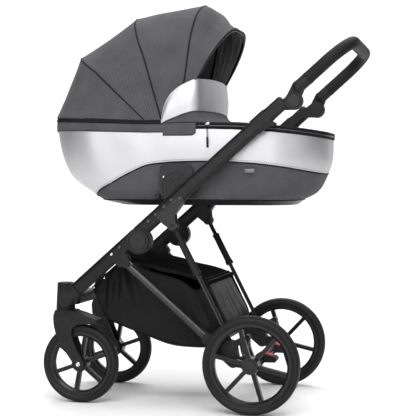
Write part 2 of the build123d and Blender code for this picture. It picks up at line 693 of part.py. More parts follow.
with BuildPart() as stay_rods:
    for _, side in SIDES:
        x, z = along(STAY_TOP_X, STAY_TOP_Z, STAY_ANGLE, SLEEVE_FROM + 21)
        with BuildSketch(rod_plane(x, side * LEG_Y, z, STAY_ANGLE)):
            Circle(STAY_ROD_R)
        extrude(amount=STAY_LEN - SLEEVE_FROM - 21 - 4)
        with BuildSketch(lane(side, STAY_IN, STAY_OUT)):
            with Locations((STAY_FOOT_X, STAY_FOOT_Z)):
                Circle(STAY_EYE_R)
        extrude(amount=STAY_OUT - STAY_IN)
stay_rods.part.label = "stay_rods"
export_step(stay_rods.part, "parts/stay_rods.step")

# Saddles on the inner faces of the push tubes: notches open upward for the carrycot lugs
SADDLE_IN, SADDLE_OUT = 214.6, TUBE_IN - FIT
LUG_X, LUG_Z = on_tube(205, TUBE_RISE)
LUG_LOW = LUG_Z - 11
LUG_TOP = LUG_Z + 20
LUG_LOW_W, LUG_TOP_W = 20, 32

with BuildPart() as cot_saddles:
    for _, side in SIDES:
        with BuildSketch(lane(side, SADDLE_IN, SADDLE_OUT)):
            with Locations((LUG_X, LUG_Z)):
                RectangleRounded(74, 2 * (LUG_TOP - LUG_Z), 8)
            with BuildLine():
                Polyline(
                    (LUG_X - LUG_LOW_W / 2, LUG_LOW),
                    (LUG_X + LUG_LOW_W / 2, LUG_LOW),
                    (LUG_X + LUG_TOP_W / 2, LUG_TOP + 1),
                    (LUG_X - LUG_TOP_W / 2, LUG_TOP + 1),
                    close=True,
                )
            make_face(mode=Mode.SUBTRACT)
        extrude(amount=SADDLE_OUT - SADDLE_IN)
cot_saddles.part.label = "cot_saddles"
export_step(cot_saddles.part, "parts/cot_saddles.step")

# Handle arms: oval ends of the push tubes, narrowing to an inner lug at the handle pivot
HANDLE_R = 27
ARM_LUG_IN, ARM_LUG_OUT = TUBE_IN, 232
ELBOW_IN, ELBOW_OUT = ARM_LUG_OUT + GAP, 247
HANDLE_PIN_R = 7
ARM_BACK = 22
NECK_BACK, NECK_DROP, NECK_R = 32, 7, 15
ARM_ROUND = 9
handle_x, handle_z = on_tube(HANDLE_T, 0)

with BuildPart() as handle_arms:
    for _, side in SIDES:
        with BuildSketch(tube_plane(side, MAIN_TUBE_END + GAP)):
            SlotOverall(TUBE_H - 1, TUBE_W - 1, rotation=90)
        extrude(amount=HANDLE_T - MAIN_TUBE_END - ARM_BACK)
        arm_end = handle_arms.faces().sort_by(Axis((HINGE_X, 0, HINGE_Z), (UX, 0, UZ)))
        arm_end = arm_end.filter_by(lambda f: side * f.center().Y > 0)[-1]
        fillet(arm_end.edges(), radius=ARM_ROUND)
        with BuildSketch(tube_plane(side, MAIN_TUBE_END + GAP)):
            SlotOverall(PLUG_H, PLUG_W, rotation=90)
        extrude(amount=-PLUG_LEN)
        with BuildSketch(lane(side, ARM_LUG_IN, ARM_LUG_OUT)):
            with BuildSketch(mode=Mode.PRIVATE) as lug:
                with Locations((handle_x, handle_z)):
                    Circle(HANDLE_R - 1)
                with Locations(on_tube(HANDLE_T - NECK_BACK, TUBE_RISE - NECK_DROP)):
                    Circle(NECK_R)
            make_hull(lug.sketch.edges())
        extrude(amount=ARM_LUG_OUT - ARM_LUG_IN)
        with BuildSketch(lane(side, ARM_LUG_OUT, ELBOW_OUT + 10)):
            with Locations((handle_x, handle_z)):
                Circle(HANDLE_R + 1)
        extrude(amount=ELBOW_OUT + 10 - ARM_LUG_OUT, mode=Mode.SUBTRACT)
        with BuildSketch(lane(side, ARM_LUG_IN, ARM_LUG_OUT)):
            with Locations((handle_x, handle_z)):
                Circle(HANDLE_PIN_R + FIT)
        extrude(amount=ARM_LUG_OUT - ARM_LUG_IN, mode=Mode.SUBTRACT)
handle_arms.part.label = "handle_arms"
export_step(handle_arms.part, "parts/handle_arms.step")

# Fold sliders: sleeves on the push tubes with a finger hook below
SLIDER_T0, SLIDER_T1 = 492, 546
SLIDER_WALL = 2.5
SLIDER_OUT = TUBE_Y + TUBE_W / 2 + SLIDER_WALL
THUMB_DEPTH = 1

for name, side in SIDES:
    with BuildPart() as fold_slider:
        with BuildSketch(tube_plane(side, SLIDER_T0)):
            SlotOverall(TUBE_H + 2 * SLIDER_WALL, TUBE_W + 2 * SLIDER_WALL, rotation=90)
        extrude(amount=SLIDER_T1 - SLIDER_T0)
        with BuildSketch(lane(side, TUBE_Y - 10, TUBE_Y + 10)):
            with BuildLine():
                Polyline(
                    on_tube(SLIDER_T1 - 26, 0),
                    on_tube(SLIDER_T1, 0),
                    on_tube(SLIDER_T1 + 4, -15),
                    on_tube(SLIDER_T1 - 4, -17),
                    close=True,
                )
            make_face()
        extrude(amount=20)
        with BuildSketch(tube_plane(side, SLIDER_T0 - 1)):
            SlotOverall(TUBE_H + 2 * FIT, TUBE_W + 2 * FIT, rotation=90)
        extrude(amount=SLIDER_T1 - SLIDER_T0 + 2, mode=Mode.SUBTRACT)
        with BuildSketch(lane(side, SLIDER_OUT - THUMB_DEPTH, SLIDER_OUT)):
            with Locations(on_tube((SLIDER_T0 + SLIDER_T1) / 2, TUBE_RISE)):
                SlotOverall(26, 9, rotation=TUBE_ANGLE)
        extrude(amount=THUMB_DEPTH, mode=Mode.SUBTRACT)
    fold_slider.part.label = f"fold_slider_{name}"
    export_step(fold_slider.part, f"parts/fold_slider_{name}.step")

# Handle: round pivot discs with elbows, a U-shaped bar and its padded grip
GRIP_RISE = 22
GRIP_T = 706
BAR_T = 874
ELBOW_LEN = 36
GRIP_R = 19
BAR_R = 10
HANDLE_Y = 239
CORNER_R = 95
BUTTON_R = 19
BUTTON_T = 4
RECESS = 6
GRIP_END = 3

elbow_x, elbow_z = on_tube(GRIP_T, GRIP_RISE)
knee_x, knee_z = on_tube(GRIP_T - ELBOW_LEN, GRIP_RISE)
bar_x, _ = on_tube(BAR_T, GRIP_RISE)
handle_plane = Plane(origin=(elbow_x, 0, elbow_z), x_dir=(UX, 0, UZ), z_dir=(-UZ, 0, UX))
grip_len = BAR_T - GRIP_T
BAR_INSERT = 20


def grip_plane(side, d):
    """Plane across one arm of the handlebar, at a distance from the end of its elbow."""
    x, z = on_tube(GRIP_T + d, GRIP_RISE)
    return Plane(origin=(x, side * HANDLE_Y, z), x_dir=(0, 1, 0), z_dir=(UX, 0, UZ))


with BuildPart() as handle_elbows:
    for _, side in SIDES:
        with BuildSketch(lane(side, ELBOW_IN, ELBOW_OUT)):
            with Locations((handle_x, handle_z)):
                Circle(HANDLE_R)
        extrude(amount=ELBOW_OUT - ELBOW_IN)
        with BuildSketch(lane(side, ARM_LUG_IN, ELBOW_IN)):
            with Locations((handle_x, handle_z)):
                Circle(HANDLE_PIN_R)
        extrude(amount=ELBOW_IN - ARM_LUG_IN)
        with BuildSketch(lane(side, ELBOW_IN, ELBOW_OUT)):
            with BuildSketch(mode=Mode.PRIVATE) as web:
                with Locations((handle_x - 3, handle_z + 4)):
                    Circle(GRIP_R + 2)
                with Locations((knee_x, knee_z)):
                    Circle(GRIP_R)
            make_hull(web.sketch.edges())
        extrude(amount=ELBOW_OUT - ELBOW_IN)
        with Locations((knee_x, side * HANDLE_Y, knee_z)):
            Sphere(GRIP_R)
        with BuildSketch(grip_plane(side, -ELBOW_LEN)):
            Circle(GRIP_R)
        extrude(amount=ELBOW_LEN)
        with BuildSketch(grip_plane(side, 0)):
            Circle(BAR_R + FIT)
        extrude(amount=-BAR_INSERT - 2, mode=Mode.SUBTRACT)
        with BuildSketch(lane(side, ELBOW_OUT - RECESS, ELBOW_OUT + 20)):
            with Locations((handle_x, handle_z)):
                Circle(BUTTON_R + GAP)
        extrude(amount=RECESS + 20, mode=Mode.SUBTRACT)
        with BuildSketch(lane(side, ARM_LUG_OUT - 25, ELBOW_IN)):
            with Locations((handle_x, handle_z)):
                Circle(HANDLE_R + 2)
                Circle(HANDLE_PIN_R, mode=Mode.SUBTRACT)
        extrude(amount=ELBOW_IN - ARM_LUG_OUT + 25, mode=Mode.SUBTRACT)
handle_elbows.part.label = "handle_elbows"
export_step(handle_elbows.part, "parts/handle_elbows.step")

with BuildPart() as handlebar:
    with BuildLine(handle_plane):
        Polyline(
            (-BAR_INSERT, -HANDLE_Y), (grip_len, -HANDLE_Y), (grip_len, HANDLE_Y), (-BAR_INSERT, HANDLE_Y)
        )
        fillet(vertices().filter_by(lambda v: v.X > bar_x - 1), radius=CORNER_R)
    with BuildSketch(grip_plane(-1, -BAR_INSERT)):
        Circle(BAR_R)
    sweep()
handlebar.part.label = "handlebar"
export_step(handlebar.part, "parts/handlebar.step")

with BuildPart() as handle_grip:
    with BuildLine(handle_plane):
        Polyline((GRIP_END, -HANDLE_Y), (grip_len, -HANDLE_Y), (grip_len, HANDLE_Y), (GRIP_END, HANDLE_Y))
        fillet(vertices().filter_by(lambda v: v.X > bar_x - 1), radius=CORNER_R)
    with BuildSketch(grip_plane(-1, GRIP_END)):
        Circle(GRIP_R)
        Circle(BAR_R + FIT, mode=Mode.SUBTRACT)
    sweep()
handle_grip.part.label = "handle_grip"
export_step(handle_grip.part, "parts/handle_grip.step")

for name, side in SIDES:
    with BuildPart() as tilt_button:
        button_out = ELBOW_OUT + 2
        with BuildSketch(lane(side, button_out - BUTTON_T, button_out)):
            with Locations((handle_x, handle_z)):
                Circle(BUTTON_R)
        extrude(amount=BUTTON_T)
        rounded = tilt_button.edges().sort_by(Axis.Y)[0 if side < 0 else -1]
        fillet(rounded, radius=1.5)
    tilt_button.part.label = f"tilt_button_{name}"
    export_step(tilt_button.part, f"parts/tilt_button_{name}.step")

# Carrycot: sections of the outside from the bottom to the rim, as (z, head end x, foot end x, half width)
COT_SECTIONS = (
    (632, -320, 306, 172),
    (655, -357, 349, 184),
    (700, -418, 379, 194),
    (750, -447, 396, 200),
    (800, -463, 400, 203),
    (COT_RIM_Z, -475, 402, COT_W / 2),
)
COT_CORNER = 0.78
OVER_LEN, OVER_W = 1400, 800
TUB_INSET = CLOTH + GAP
TUB_FLOOR_Z = 640
TUB_TOP = COT_RIM_Z - 1
RIM_FALL_X, RIM_FALL_R = 20, 2500
RIM_END_X = 440


def cot_outline(index, inset):
    """Sketch one section of the carrycot, drawn in by an inset."""
    z, head, foot, half = COT_SECTIONS[index]
    with BuildSketch(Plane.XY.offset(z)) as outline:
        with Locations(((head + foot) / 2, 0)):
            RectangleRounded(foot - head - 2 * inset, 2 * (half - inset), (half - inset) * COT_CORNER)
    return outline.sketch


def rim_drop(x):
    """How far the rim has fallen at an x on the foot side."""
    run = max(0, x - RIM_FALL_X)
    return RIM_FALL_R - math.sqrt(RIM_FALL_R**2 - run**2)


def rim_band(low, high, start):
    """Side-view outline between two heights over the rim line, from a start x past the foot end."""
    middle = (RIM_FALL_X + RIM_END_X) / 2
    with BuildLine() as line:
        Line((start, low), (RIM_FALL_X, low))
        ThreePointArc((RIM_FALL_X, low), (middle, low - rim_drop(middle)), (RIM_END_X, low - rim_drop(RIM_END_X)))
        Line((RIM_END_X, low - rim_drop(RIM_END_X)), (RIM_END_X, high - rim_drop(RIM_END_X)))
        ThreePointArc((RIM_END_X, high - rim_drop(RIM_END_X)), (middle, high - rim_drop(middle)), (RIM_FALL_X, high))
        Line((RIM_FALL_X, high), (start, high))
        Line((start, high), (start, low))
    return line.line


with BuildPart() as cot_tub:
    for i in range(len(COT_SECTIONS)):
        add(cot_outline(i, TUB_INSET))
    loft()
    with BuildSketch(Plane.XY.offset(TUB_FLOOR_Z)):
        Rectangle(OVER_LEN, OVER_W)
    extrude(amount=-20, mode=Mode.SUBTRACT)
    for i in range(1, len(COT_SECTIONS)):
        add(cot_outline(i, TUB_INSET + TUB_WALL))
    loft(mode=Mode.SUBTRACT)
    with BuildSketch(lane(1, -OVER_W / 2, OVER_W / 2)):
        add(rim_band(TUB_TOP, TUB_TOP + 50, -OVER_LEN / 2))
        make_face()
    extrude(amount=OVER_W, mode=Mode.SUBTRACT)
cot_tub.part.label = "cot_tub"
export_step(cot_tub.part, "parts/cot_tub.step")

# Cloth of the carrycot: silver band above a curved seam, grey skirt below it
SEAM = (
    (-420, 600),
    (-330, 645),
    (-259, 686),
    (-194, 720),
    (-130, 744),
    (28, 753),
    (182, 747),
    (274, 736),
    (355, 721),
    (460, 700),
)
SEAM_GAP = 0.3
BAND_TOP = COT_RIM_Z - 2
SKIRT_LOW = COT_SECTIONS[0][0]
BELOW = 560

for label, above in (("cot_band", True), ("cot_skirt", False)):
    with BuildPart() as cloth:
        for i in range(len(COT_SECTIONS)):
            add(cot_outline(i, 0))
        loft()
        for i in range(len(COT_SECTIONS)):
            add(cot_outline(i, CLOTH))
        loft(mode=Mode.SUBTRACT)
        with BuildSketch(lane(1, -OVER_W / 2, OVER_W / 2)):
            seam = SEAM if above else tuple((x, z - SEAM_GAP) for x, z in SEAM)
            limit = BAND_TOP if above else BELOW
            with BuildLine():
                Spline(*seam)
                Polyline(
                    seam[-1],
                    (OVER_LEN / 2, seam[-1][1]),
                    (OVER_LEN / 2, limit),
                    (-OVER_LEN / 2, limit),
                    (-OVER_LEN / 2, seam[0][1]),
                    seam[0],
                )
            make_face()
        extrude(amount=OVER_W, mode=Mode.INTERSECT)
        if above:
            with BuildSketch(lane(1, -OVER_W / 2, OVER_W / 2)):
                add(rim_band(BAND_TOP, BAND_TOP + 50, -OVER_LEN / 2))
                make_face()
            extrude(amount=OVER_W, mode=Mode.SUBTRACT)
    cloth.part.label = label
    export_step(cloth.part, f"parts/{label}.step")

# Bottom tray
TRAY_LOW = 618
TRAY_DRAFT, TRAY_HEAD_DRAFT = 15, 60

with BuildPart() as cot_tray:
    z, head, foot, half = COT_SECTIONS[0]
    with BuildSketch(Plane.XY.offset(TRAY_LOW)):
        with Locations(((head + TRAY_HEAD_DRAFT + foot - TRAY_DRAFT) / 2, 0)):
            RectangleRounded(
                foot - head - TRAY_DRAFT - TRAY_HEAD_DRAFT,
                2 * (half - TRAY_DRAFT),
                (half - TRAY_DRAFT) * COT_CORNER,
            )
    with BuildSketch(Plane.XY.offset(SKIRT_LOW - GAP)):
        with Locations(((head + foot) / 2, 0)):
            RectangleRounded(foot - head + 2, 2 * half + 2, half * COT_CORNER)
    loft()
cot_tray.part.label = "cot_tray"
export_step(cot_tray.part, "parts/cot_tray.step")

# Side plates with lugs that drop into the saddles
PLATE_IN, PLATE_OUT = 206, 213
PLATE_X, PLATE_LOW, PLATE_TOP = -45, 640, 748
PLATE_W = 104
PAD_IN, PAD_Z, PAD_R = 199.9, 735, 12

with BuildPart() as cot_plates:
    for _, side in SIDES:
        with BuildSketch(lane(side, PLATE_IN, PLATE_OUT)):
            with Locations((PLATE_X, (PLATE_LOW + PLATE_TOP) / 2)):
                RectangleRounded(PLATE_W, PLATE_TOP - PLATE_LOW, 26)
        extrude(amount=PLATE_OUT - PLATE_IN)
        with BuildSketch(lane(side, PAD_IN, PLATE_IN)):
            with Locations((PLATE_X, PAD_Z)):
                Circle(PAD_R)
        extrude(amount=PLATE_IN - PAD_IN)
        for rib in (20, 32, 44):
            with BuildSketch(lane(side, PLATE_OUT - 2, PLATE_OUT)):
                with Locations((PLATE_X, PLATE_LOW + 34)):
                    Circle(rib)
                    Circle(rib - 3, mode=Mode.SUBTRACT)
            extrude(amount=2, mode=Mode.SUBTRACT)
        with BuildSketch(lane(side, PLATE_OUT - 3, TUBE_IN - 1)):
            with BuildLine():
                Polyline(
                    (LUG_X - LUG_LOW_W / 2 + GAP, LUG_LOW + GAP),
                    (LUG_X + LUG_LOW_W / 2 - GAP, LUG_LOW + GAP),
                    (LUG_X + LUG_TOP_W / 2 - GAP, LUG_TOP),
                    (LUG_X - LUG_TOP_W / 2 + GAP, LUG_TOP),
                    close=True,
                )
            make_face()
        extrude(amount=TUBE_IN - 1 - PLATE_OUT + 3)
cot_plates.part.label = "cot_plates"
export_step(cot_plates.part, "parts/cot_plates.step")

# Mattress with a low crown
MATTRESS_LOW = COT_SECTIONS[1][0] + GAP
MATTRESS_SIDE, MATTRESS_CROWN = 26, 16

with BuildPart() as mattress:
    z, head, foot, half = COT_SECTIONS[1]
    for dz, grow in (
        (0, -18),
        (MATTRESS_SIDE / 2, -12),
        (MATTRESS_SIDE, -18),
        (MATTRESS_SIDE + MATTRESS_CROWN, -70),
    ):
        with BuildSketch(Plane.XY.offset(MATTRESS_LOW + dz)):
            with Locations(((head + foot) / 2, 0)):
                RectangleRounded(foot - head + 2 * grow, 2 * (half + grow), (half + grow) * COT_CORNER)
    loft()
mattress.part.label = "mattress"
export_step(mattress.part, "parts/mattress.step")

# Apron over the foot half, following the fall of the rim
APRON_START = -14
APRON_LOW = TUB_TOP + GAP
APRON_T = 8
APRON_OVER = 2

with BuildPart() as apron:
    z, head, foot, half = COT_SECTIONS[-1]
    with BuildSketch(Plane.XY.offset(APRON_LOW - 100)):
        with Locations(((head + foot) / 2, 0)):
            RectangleRounded(
                foot - head + 2 * APRON_OVER, 2 * (half + APRON_OVER), (half + APRON_OVER) * COT_CORNER
            )
    extrude(amount=200)
    with BuildSketch(lane(1, -OVER_W / 2, OVER_W / 2)):
        add(rim_band(APRON_LOW, APRON_LOW + APRON_T, APRON_START))
        make_face()
    extrude(amount=OVER_W, mode=Mode.INTERSECT)
apron.part.label = "apron"
export_step(apron.part, "parts/apron.step")

# Collar: a raised band on the apron, wrapped outside the hood sides, its top edge rising to the middle
COLLAR_HALF = 211
COLLAR_T = 4
COLLAR_WING_X, COLLAR_CORNER_X, COLLAR_BOW = -66, 31, 46
COLLAR_CORNER_R = 10
COLLAR_LOW = APRON_LOW + APRON_T + GAP
COLLAR_TOP_LINE = ((COLLAR_WING_X, 951), (-40, 972), (-12, 987), (12, 996), (COLLAR_CORNER_X, 1002), (48, 1008))

with BuildPart() as collar:
    with BuildSketch(Plane.XY.offset(COLLAR_LOW)):
        for inset, mode in ((0, Mode.ADD), (COLLAR_T, Mode.SUBTRACT)):
            with BuildLine():
                half = COLLAR_HALF - inset
                Polyline(
                    (COLLAR_CORNER_X - inset, half),
                    (COLLAR_WING_X, half),
                    (COLLAR_WING_X, -half),
                    (COLLAR_CORNER_X - inset, -half),
                )
                ThreePointArc(
                    (COLLAR_CORNER_X - inset, -half), (COLLAR_BOW - inset, 0), (COLLAR_CORNER_X - inset, half)
                )
            make_face(mode=mode)
    extrude(amount=COLLAR_TOP_LINE[-1][1] - COLLAR_LOW)
    outer_corners = collar.edges().filter_by(Axis.Z).filter_by(lambda e: e.center().X > COLLAR_WING_X + 5)
    fillet(outer_corners.filter_by(lambda e: abs(e.center().Y) > COLLAR_HALF - 1), radius=COLLAR_CORNER_R)
    with BuildSketch(lane(1, -OVER_W / 2, OVER_W / 2)):
        with BuildLine():
            Spline(*COLLAR_TOP_LINE)
            Polyline(
                COLLAR_TOP_LINE[-1],
                (COLLAR_TOP_LINE[-1][0], COLLAR_LOW),
                (COLLAR_WING_X, COLLAR_LOW),
                COLLAR_TOP_LINE[0],
            )
        make_face()
    extrude(amount=OVER_W, mode=Mode.INTERSECT)
collar.part.label = "collar"
export_step(collar.part, "parts/collar.step")

# Hood hem: cloth band round the head end above the rim
HEM_LOW, HEM_TOP = COT_RIM_Z - 12, COT_RIM_Z + 13
HEM_IN, HEM_OUT = 2 * GAP, 4
HEM_END = HOOD_X - 8

with BuildPart() as hood_hem:
    z, head, foot, half = COT_SECTIONS[-1]
    with BuildSketch(Plane.XY.offset(HEM_LOW)):
        with Locations(((head + foot) / 2, 0)):
            for grow, mode in ((HEM_OUT, Mode.ADD), (HEM_IN, Mode.SUBTRACT)):
                RectangleRounded(
                    foot - head + 2 * grow, 2 * (half + grow), half * COT_CORNER + grow, mode=mode
                )
        with Locations(((HEM_END + OVER_LEN / 2) / 2, 0)):
            Rectangle(OVER_LEN / 2 - HEM_END, OVER_W, mode=Mode.SUBTRACT)
    extrude(amount=HEM_TOP - HEM_LOW)
hood_hem.part.label = "hood_hem"
export_step(hood_hem.part, "parts/hood_hem.step")

# Hood pivots inside the tub walls
PIVOT_R = 4
PIVOT_PLATE_IN, PIVOT_PLATE_OUT = 177, 182
PIVOT_END = 197
ANCHOR_END = 195.9

with BuildPart() as hood_pivots:
    for _, side in SIDES:
        with BuildSketch(lane(side, PIVOT_PLATE_IN, PIVOT_PLATE_OUT)):
            with Locations((HOOD_X, HOOD_Z - 30)):
                RectangleRounded(30, 88, 10)
        extrude(amount=PIVOT_PLATE_OUT - PIVOT_PLATE_IN)
        with BuildSketch(lane(side, PIVOT_PLATE_IN, PIVOT_END)):
            with Locations((HOOD_X, HOOD_Z)):
                Circle(PIVOT_R)
        extrude(amount=PIVOT_END - PIVOT_PLATE_IN)
        with BuildSketch(lane(side, PIVOT_PLATE_IN, ANCHOR_END)):
            with Locations((HOOD_X, HOOD_Z - 60)):
                Circle(8)
        extrude(amount=ANCHOR_END - PIVOT_PLATE_IN)
hood_pivots.part.label = "hood_pivots"
export_step(hood_pivots.part, "parts/hood_pivots.step")

# Hood bows: label, angle above the rear, height of the arch, outer face of its flat arm
BOWS = (
    ("bow_a", 146.6, 396, 185.5),
    ("bow_b", 113, 368, 189),
    ("bow_c", 78.4, 382, 192.5),
    ("bow_front", 60.4, 345, 196),
)
HEM_ANGLE, HEM_REACH = 177, 414
BOW_T = 3
BOW_W = 8
BOW_DROP = 4.8
EYE_R = 8
ARCH_CORNER = 150


def hood_plane(angle):
    """Plane through the hood pivots; local x is +Y, local y leaves the pivot at an angle above the rear."""
    a = math.radians(angle)
    return Plane(origin=(HOOD_X, 0, HOOD_Z), x_dir=(0, 1, 0), z_dir=(math.sin(a), 0, -math.cos(a)))


def arch(half, start, height, corner, thick):
    """Closed outline of an arched band of even thickness, feet at the given start height."""
    with BuildLine() as line:
        Line((-half, start), (-half, height - corner))
        RadiusArc((-half, height - corner), (-half + corner, height), corner)
        Line((-half + corner, height), (half - corner, height))
        RadiusArc((half - corner, height), (half, height - corner), corner)
        Line((half, height - corner), (half, start))
        Line((half, start), (half - thick, start))
        Line((half - thick, start), (half - thick, height - corner))
        RadiusArc((half - thick, height - corner), (half - corner, height - thick), -(corner - thick))
        Line((half - corner, height - thick), (-half + corner, height - thick))
        RadiusArc((-half + corner, height - thick), (-half + thick, height - corner), -(corner - thick))
        Line((-half + thick, height - corner), (-half + thick, start))
        Line((-half + thick, start), (-half, start))
    return line.line


for label, angle, height, outer in BOWS:
    with BuildPart() as bow:
        with BuildSketch(hood_plane(angle)):
            add(arch(outer, 0, height - BOW_DROP, ARCH_CORNER, BOW_T))
            make_face()
        extrude(amount=BOW_W / 2, both=True)
        for _, side in SIDES:
            with BuildSketch(lane(side, outer - BOW_T, outer)):
                with Locations((HOOD_X, HOOD_Z)):
                    Circle(EYE_R)
            extrude(amount=BOW_T)
            with BuildSketch(lane(side, outer - BOW_T, outer)):
                with Locations((HOOD_X, HOOD_Z)):
                    Circle(PIVOT_R + FIT)
            extrude(amount=BOW_T, mode=Mode.SUBTRACT)
    bow.part.label = label
    export_step(bow.part, f"parts/{label}.step")

# Hood cloth: one panel between each pair of neighbouring bows
PANEL_GAP = 0.1
edges = ((HEM_ANGLE, HEM_REACH),) + tuple((angle, height) for _, angle, height, _ in BOWS)

for i, label in enumerate(("hood_panel_a", "hood_panel_b", "hood_panel_c", "hood_panel_front")):
    with BuildPart() as panel:
        for (angle, height), shift in ((edges[i], -PANEL_GAP), (edges[i + 1], PANEL_GAP)):
            with BuildSketch(hood_plane(angle + shift)):
                add(arch(HOOD_W / 2, HOOD_START, height, ARCH_CORNER, HOOD_CLOTH))
                make_face()
        loft(ruled=True)
    panel.part.label = label
    export_step(panel.part, f"parts/{label}.step")

# Basket: cloth tub slung between the legs, open above, and a sloping lid
BASKET_HALF = 185
BASKET_CLOTH = 3
BASKET_OUTER = (
    (-320, 352),
    (-276, 256),
    (-232, 236),
    (-167, 213),
    (-87, 188),
    (-24, 180),
    (48, 180),
    (84, 194),
    (108, 250),
    (48, 378),
)
BASKET_LIP = ((36, 378), (10, 352), (-39, 384), (-135, 410), (-214, 440))
BASKET_MOUTH = ((-304, 335), (38, 330), (40, 420), (-222, 470), (-316, 358))
LID_T = 3
LID_LINE = ((-205, 447), (-100, 428), (5, 405), (44, 378 + LID_T + GAP))
TAB_W, TAB_T = 26, 4
TAB_D = 120
TAB_OUT = LEG_Y - LEG_D / 2 - GAP
TONGUE_HALF = 70
TONGUE_DROP = 10
LID_TAB_X = LEG_X + 10
LID_TAB_OUT = BRACKET_IN - GAP
crossbar_back = CROSSBAR_X + CROSSBAR_W / 2 + GAP
(top_x, top_z), (next_x, next_z) = BASKET_OUTER[:2]
tongue_x = top_x + (next_x - top_x) * TONGUE_DROP / (top_z - next_z) + BASKET_CLOTH / 2
tongue_z = top_z - TONGUE_DROP

with BuildPart() as basket_tub:
    with BuildSketch(lane(1, -BASKET_HALF, BASKET_HALF)):
        with BuildLine():
            Polyline(*BASKET_OUTER, *BASKET_LIP, close=True)
        make_face()
    extrude(amount=2 * BASKET_HALF)
    with BuildSketch(lane(1, -BASKET_HALF + BASKET_CLOTH, BASKET_HALF - BASKET_CLOTH)):
        with BuildLine():
            Polyline(*BASKET_OUTER, close=True)
        make_face()
        offset(amount=-BASKET_CLOTH)
        with BuildLine():
            Polyline(*BASKET_MOUTH, close=True)
        make_face()
    extrude(amount=2 * (BASKET_HALF - BASKET_CLOTH), mode=Mode.SUBTRACT)
    for _, side in SIDES:
        with BuildSketch(lane(side, BASKET_HALF - BASKET_CLOTH, TAB_OUT)):
            with Locations(along(LEG_X, LEG_Z, LEG_ANGLE, TAB_D)):
                Rectangle(TAB_W, TAB_T, rotation=-LEG_ANGLE)
        extrude(amount=TAB_OUT - BASKET_HALF + BASKET_CLOTH)
    with BuildSketch(lane(1, -TONGUE_HALF, TONGUE_HALF)):
        with BuildLine():
            Polyline(
                (crossbar_back, CROSSBAR_Z + TAB_T / 2),
                (crossbar_back, CROSSBAR_Z - TAB_T / 2),
                (tongue_x, tongue_z - TAB_T / 2),
                (tongue_x, tongue_z + TAB_T / 2),
                close=True,
            )
        make_face()
    extrude(amount=2 * TONGUE_HALF)
basket_tub.part.label = "basket_tub"
export_step(basket_tub.part, "parts/basket_tub.step")

with BuildPart() as basket_lid:
    with BuildSketch(lane(1, -BASKET_HALF, BASKET_HALF)):
        with BuildLine():
            Polyline(*LID_LINE, *((x, z - LID_T) for x, z in reversed(LID_LINE)), close=True)
        make_face()
    extrude(amount=2 * BASKET_HALF)
    with BuildSketch(lane(1, -LID_TAB_OUT, LID_TAB_OUT)):
        lid_x, lid_z = LID_LINE[0]
        with BuildLine():
            Polyline(
                (lid_x, lid_z),
                (lid_x, lid_z - LID_T),
                (LID_TAB_X, lid_z - LID_T - 3),
                (LID_TAB_X, lid_z - 3),
                close=True,
            )
        make_face()
    extrude(amount=2 * LID_TAB_OUT)
basket_lid.part.label = "basket_lid"
export_step(basket_lid.part, "parts/basket_lid.step")
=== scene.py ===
import json
import math

import bpy
import bmesh
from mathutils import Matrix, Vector, noise


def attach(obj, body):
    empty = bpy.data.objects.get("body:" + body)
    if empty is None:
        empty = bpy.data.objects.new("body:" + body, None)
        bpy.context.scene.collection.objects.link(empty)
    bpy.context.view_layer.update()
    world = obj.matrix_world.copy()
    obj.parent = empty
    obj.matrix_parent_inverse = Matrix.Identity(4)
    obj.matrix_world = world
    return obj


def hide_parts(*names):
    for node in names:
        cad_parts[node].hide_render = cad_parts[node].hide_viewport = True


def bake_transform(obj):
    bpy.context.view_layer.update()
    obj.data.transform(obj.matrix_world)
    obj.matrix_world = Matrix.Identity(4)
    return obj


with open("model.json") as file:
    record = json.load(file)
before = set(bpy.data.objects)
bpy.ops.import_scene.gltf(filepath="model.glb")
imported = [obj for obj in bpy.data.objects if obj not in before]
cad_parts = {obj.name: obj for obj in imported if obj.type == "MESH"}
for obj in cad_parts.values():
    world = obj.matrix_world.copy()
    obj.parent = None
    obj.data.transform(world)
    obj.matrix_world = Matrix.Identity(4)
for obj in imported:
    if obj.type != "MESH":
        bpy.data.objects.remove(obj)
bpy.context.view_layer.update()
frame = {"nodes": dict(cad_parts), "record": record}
NODES = frame["nodes"]
MM = 0.001
SIDES = ((-1, "left"), (1, "right"))


# Materials

def node(nt, kind, ins=None, **props):
    n = nt.nodes.new(kind)
    for k, v in props.items():
        setattr(n, k, v)
    for k, v in (ins or {}).items():
        if isinstance(v, bpy.types.NodeSocket):
            nt.links.new(v, n.inputs[k])
        else:
            n.inputs[k].default_value = v
    return n


def math_node(nt, op, a, b=0.0):
    return node(nt, "ShaderNodeMath", {0: a, 1: b}, operation=op).outputs[0]


def ramp(nt, fac, stops):
    n = node(nt, "ShaderNodeValToRGB", {"Fac": fac})
    els = n.color_ramp.elements
    while len(els) < len(stops):
        els.new(0.5)
    for e, (pos, col) in zip(els, stops):
        e.position = pos
        e.color = (*col, 1) if hasattr(col, "__len__") else (col, col, col, 1)
    return n.outputs["Color"]


def noise_tex(nt, vec, scale, detail=2.0, rough=0.5):
    ins = {"Vector": vec, "Scale": scale, "Detail": detail, "Roughness": rough}
    return node(nt, "ShaderNodeTexNoise", ins).outputs["Fac"]


def cells(nt, vec, scale):
    ins = {"Vector": vec, "Scale": scale}
    return node(nt, "ShaderNodeTexVoronoi", ins, feature="DISTANCE_TO_EDGE").outputs["Distance"]


def over(nt, amount, under, colour):
    """Lay one colour over the colour of a socket, by an amount."""
    mixer = node(nt, "ShaderNodeMix", data_type="RGBA")
    nt.links.new(amount, mixer.inputs[0])
    nt.links.new(under, mixer.inputs[6])
    mixer.inputs[7].default_value = (*colour, 1)
    return mixer.outputs[2]


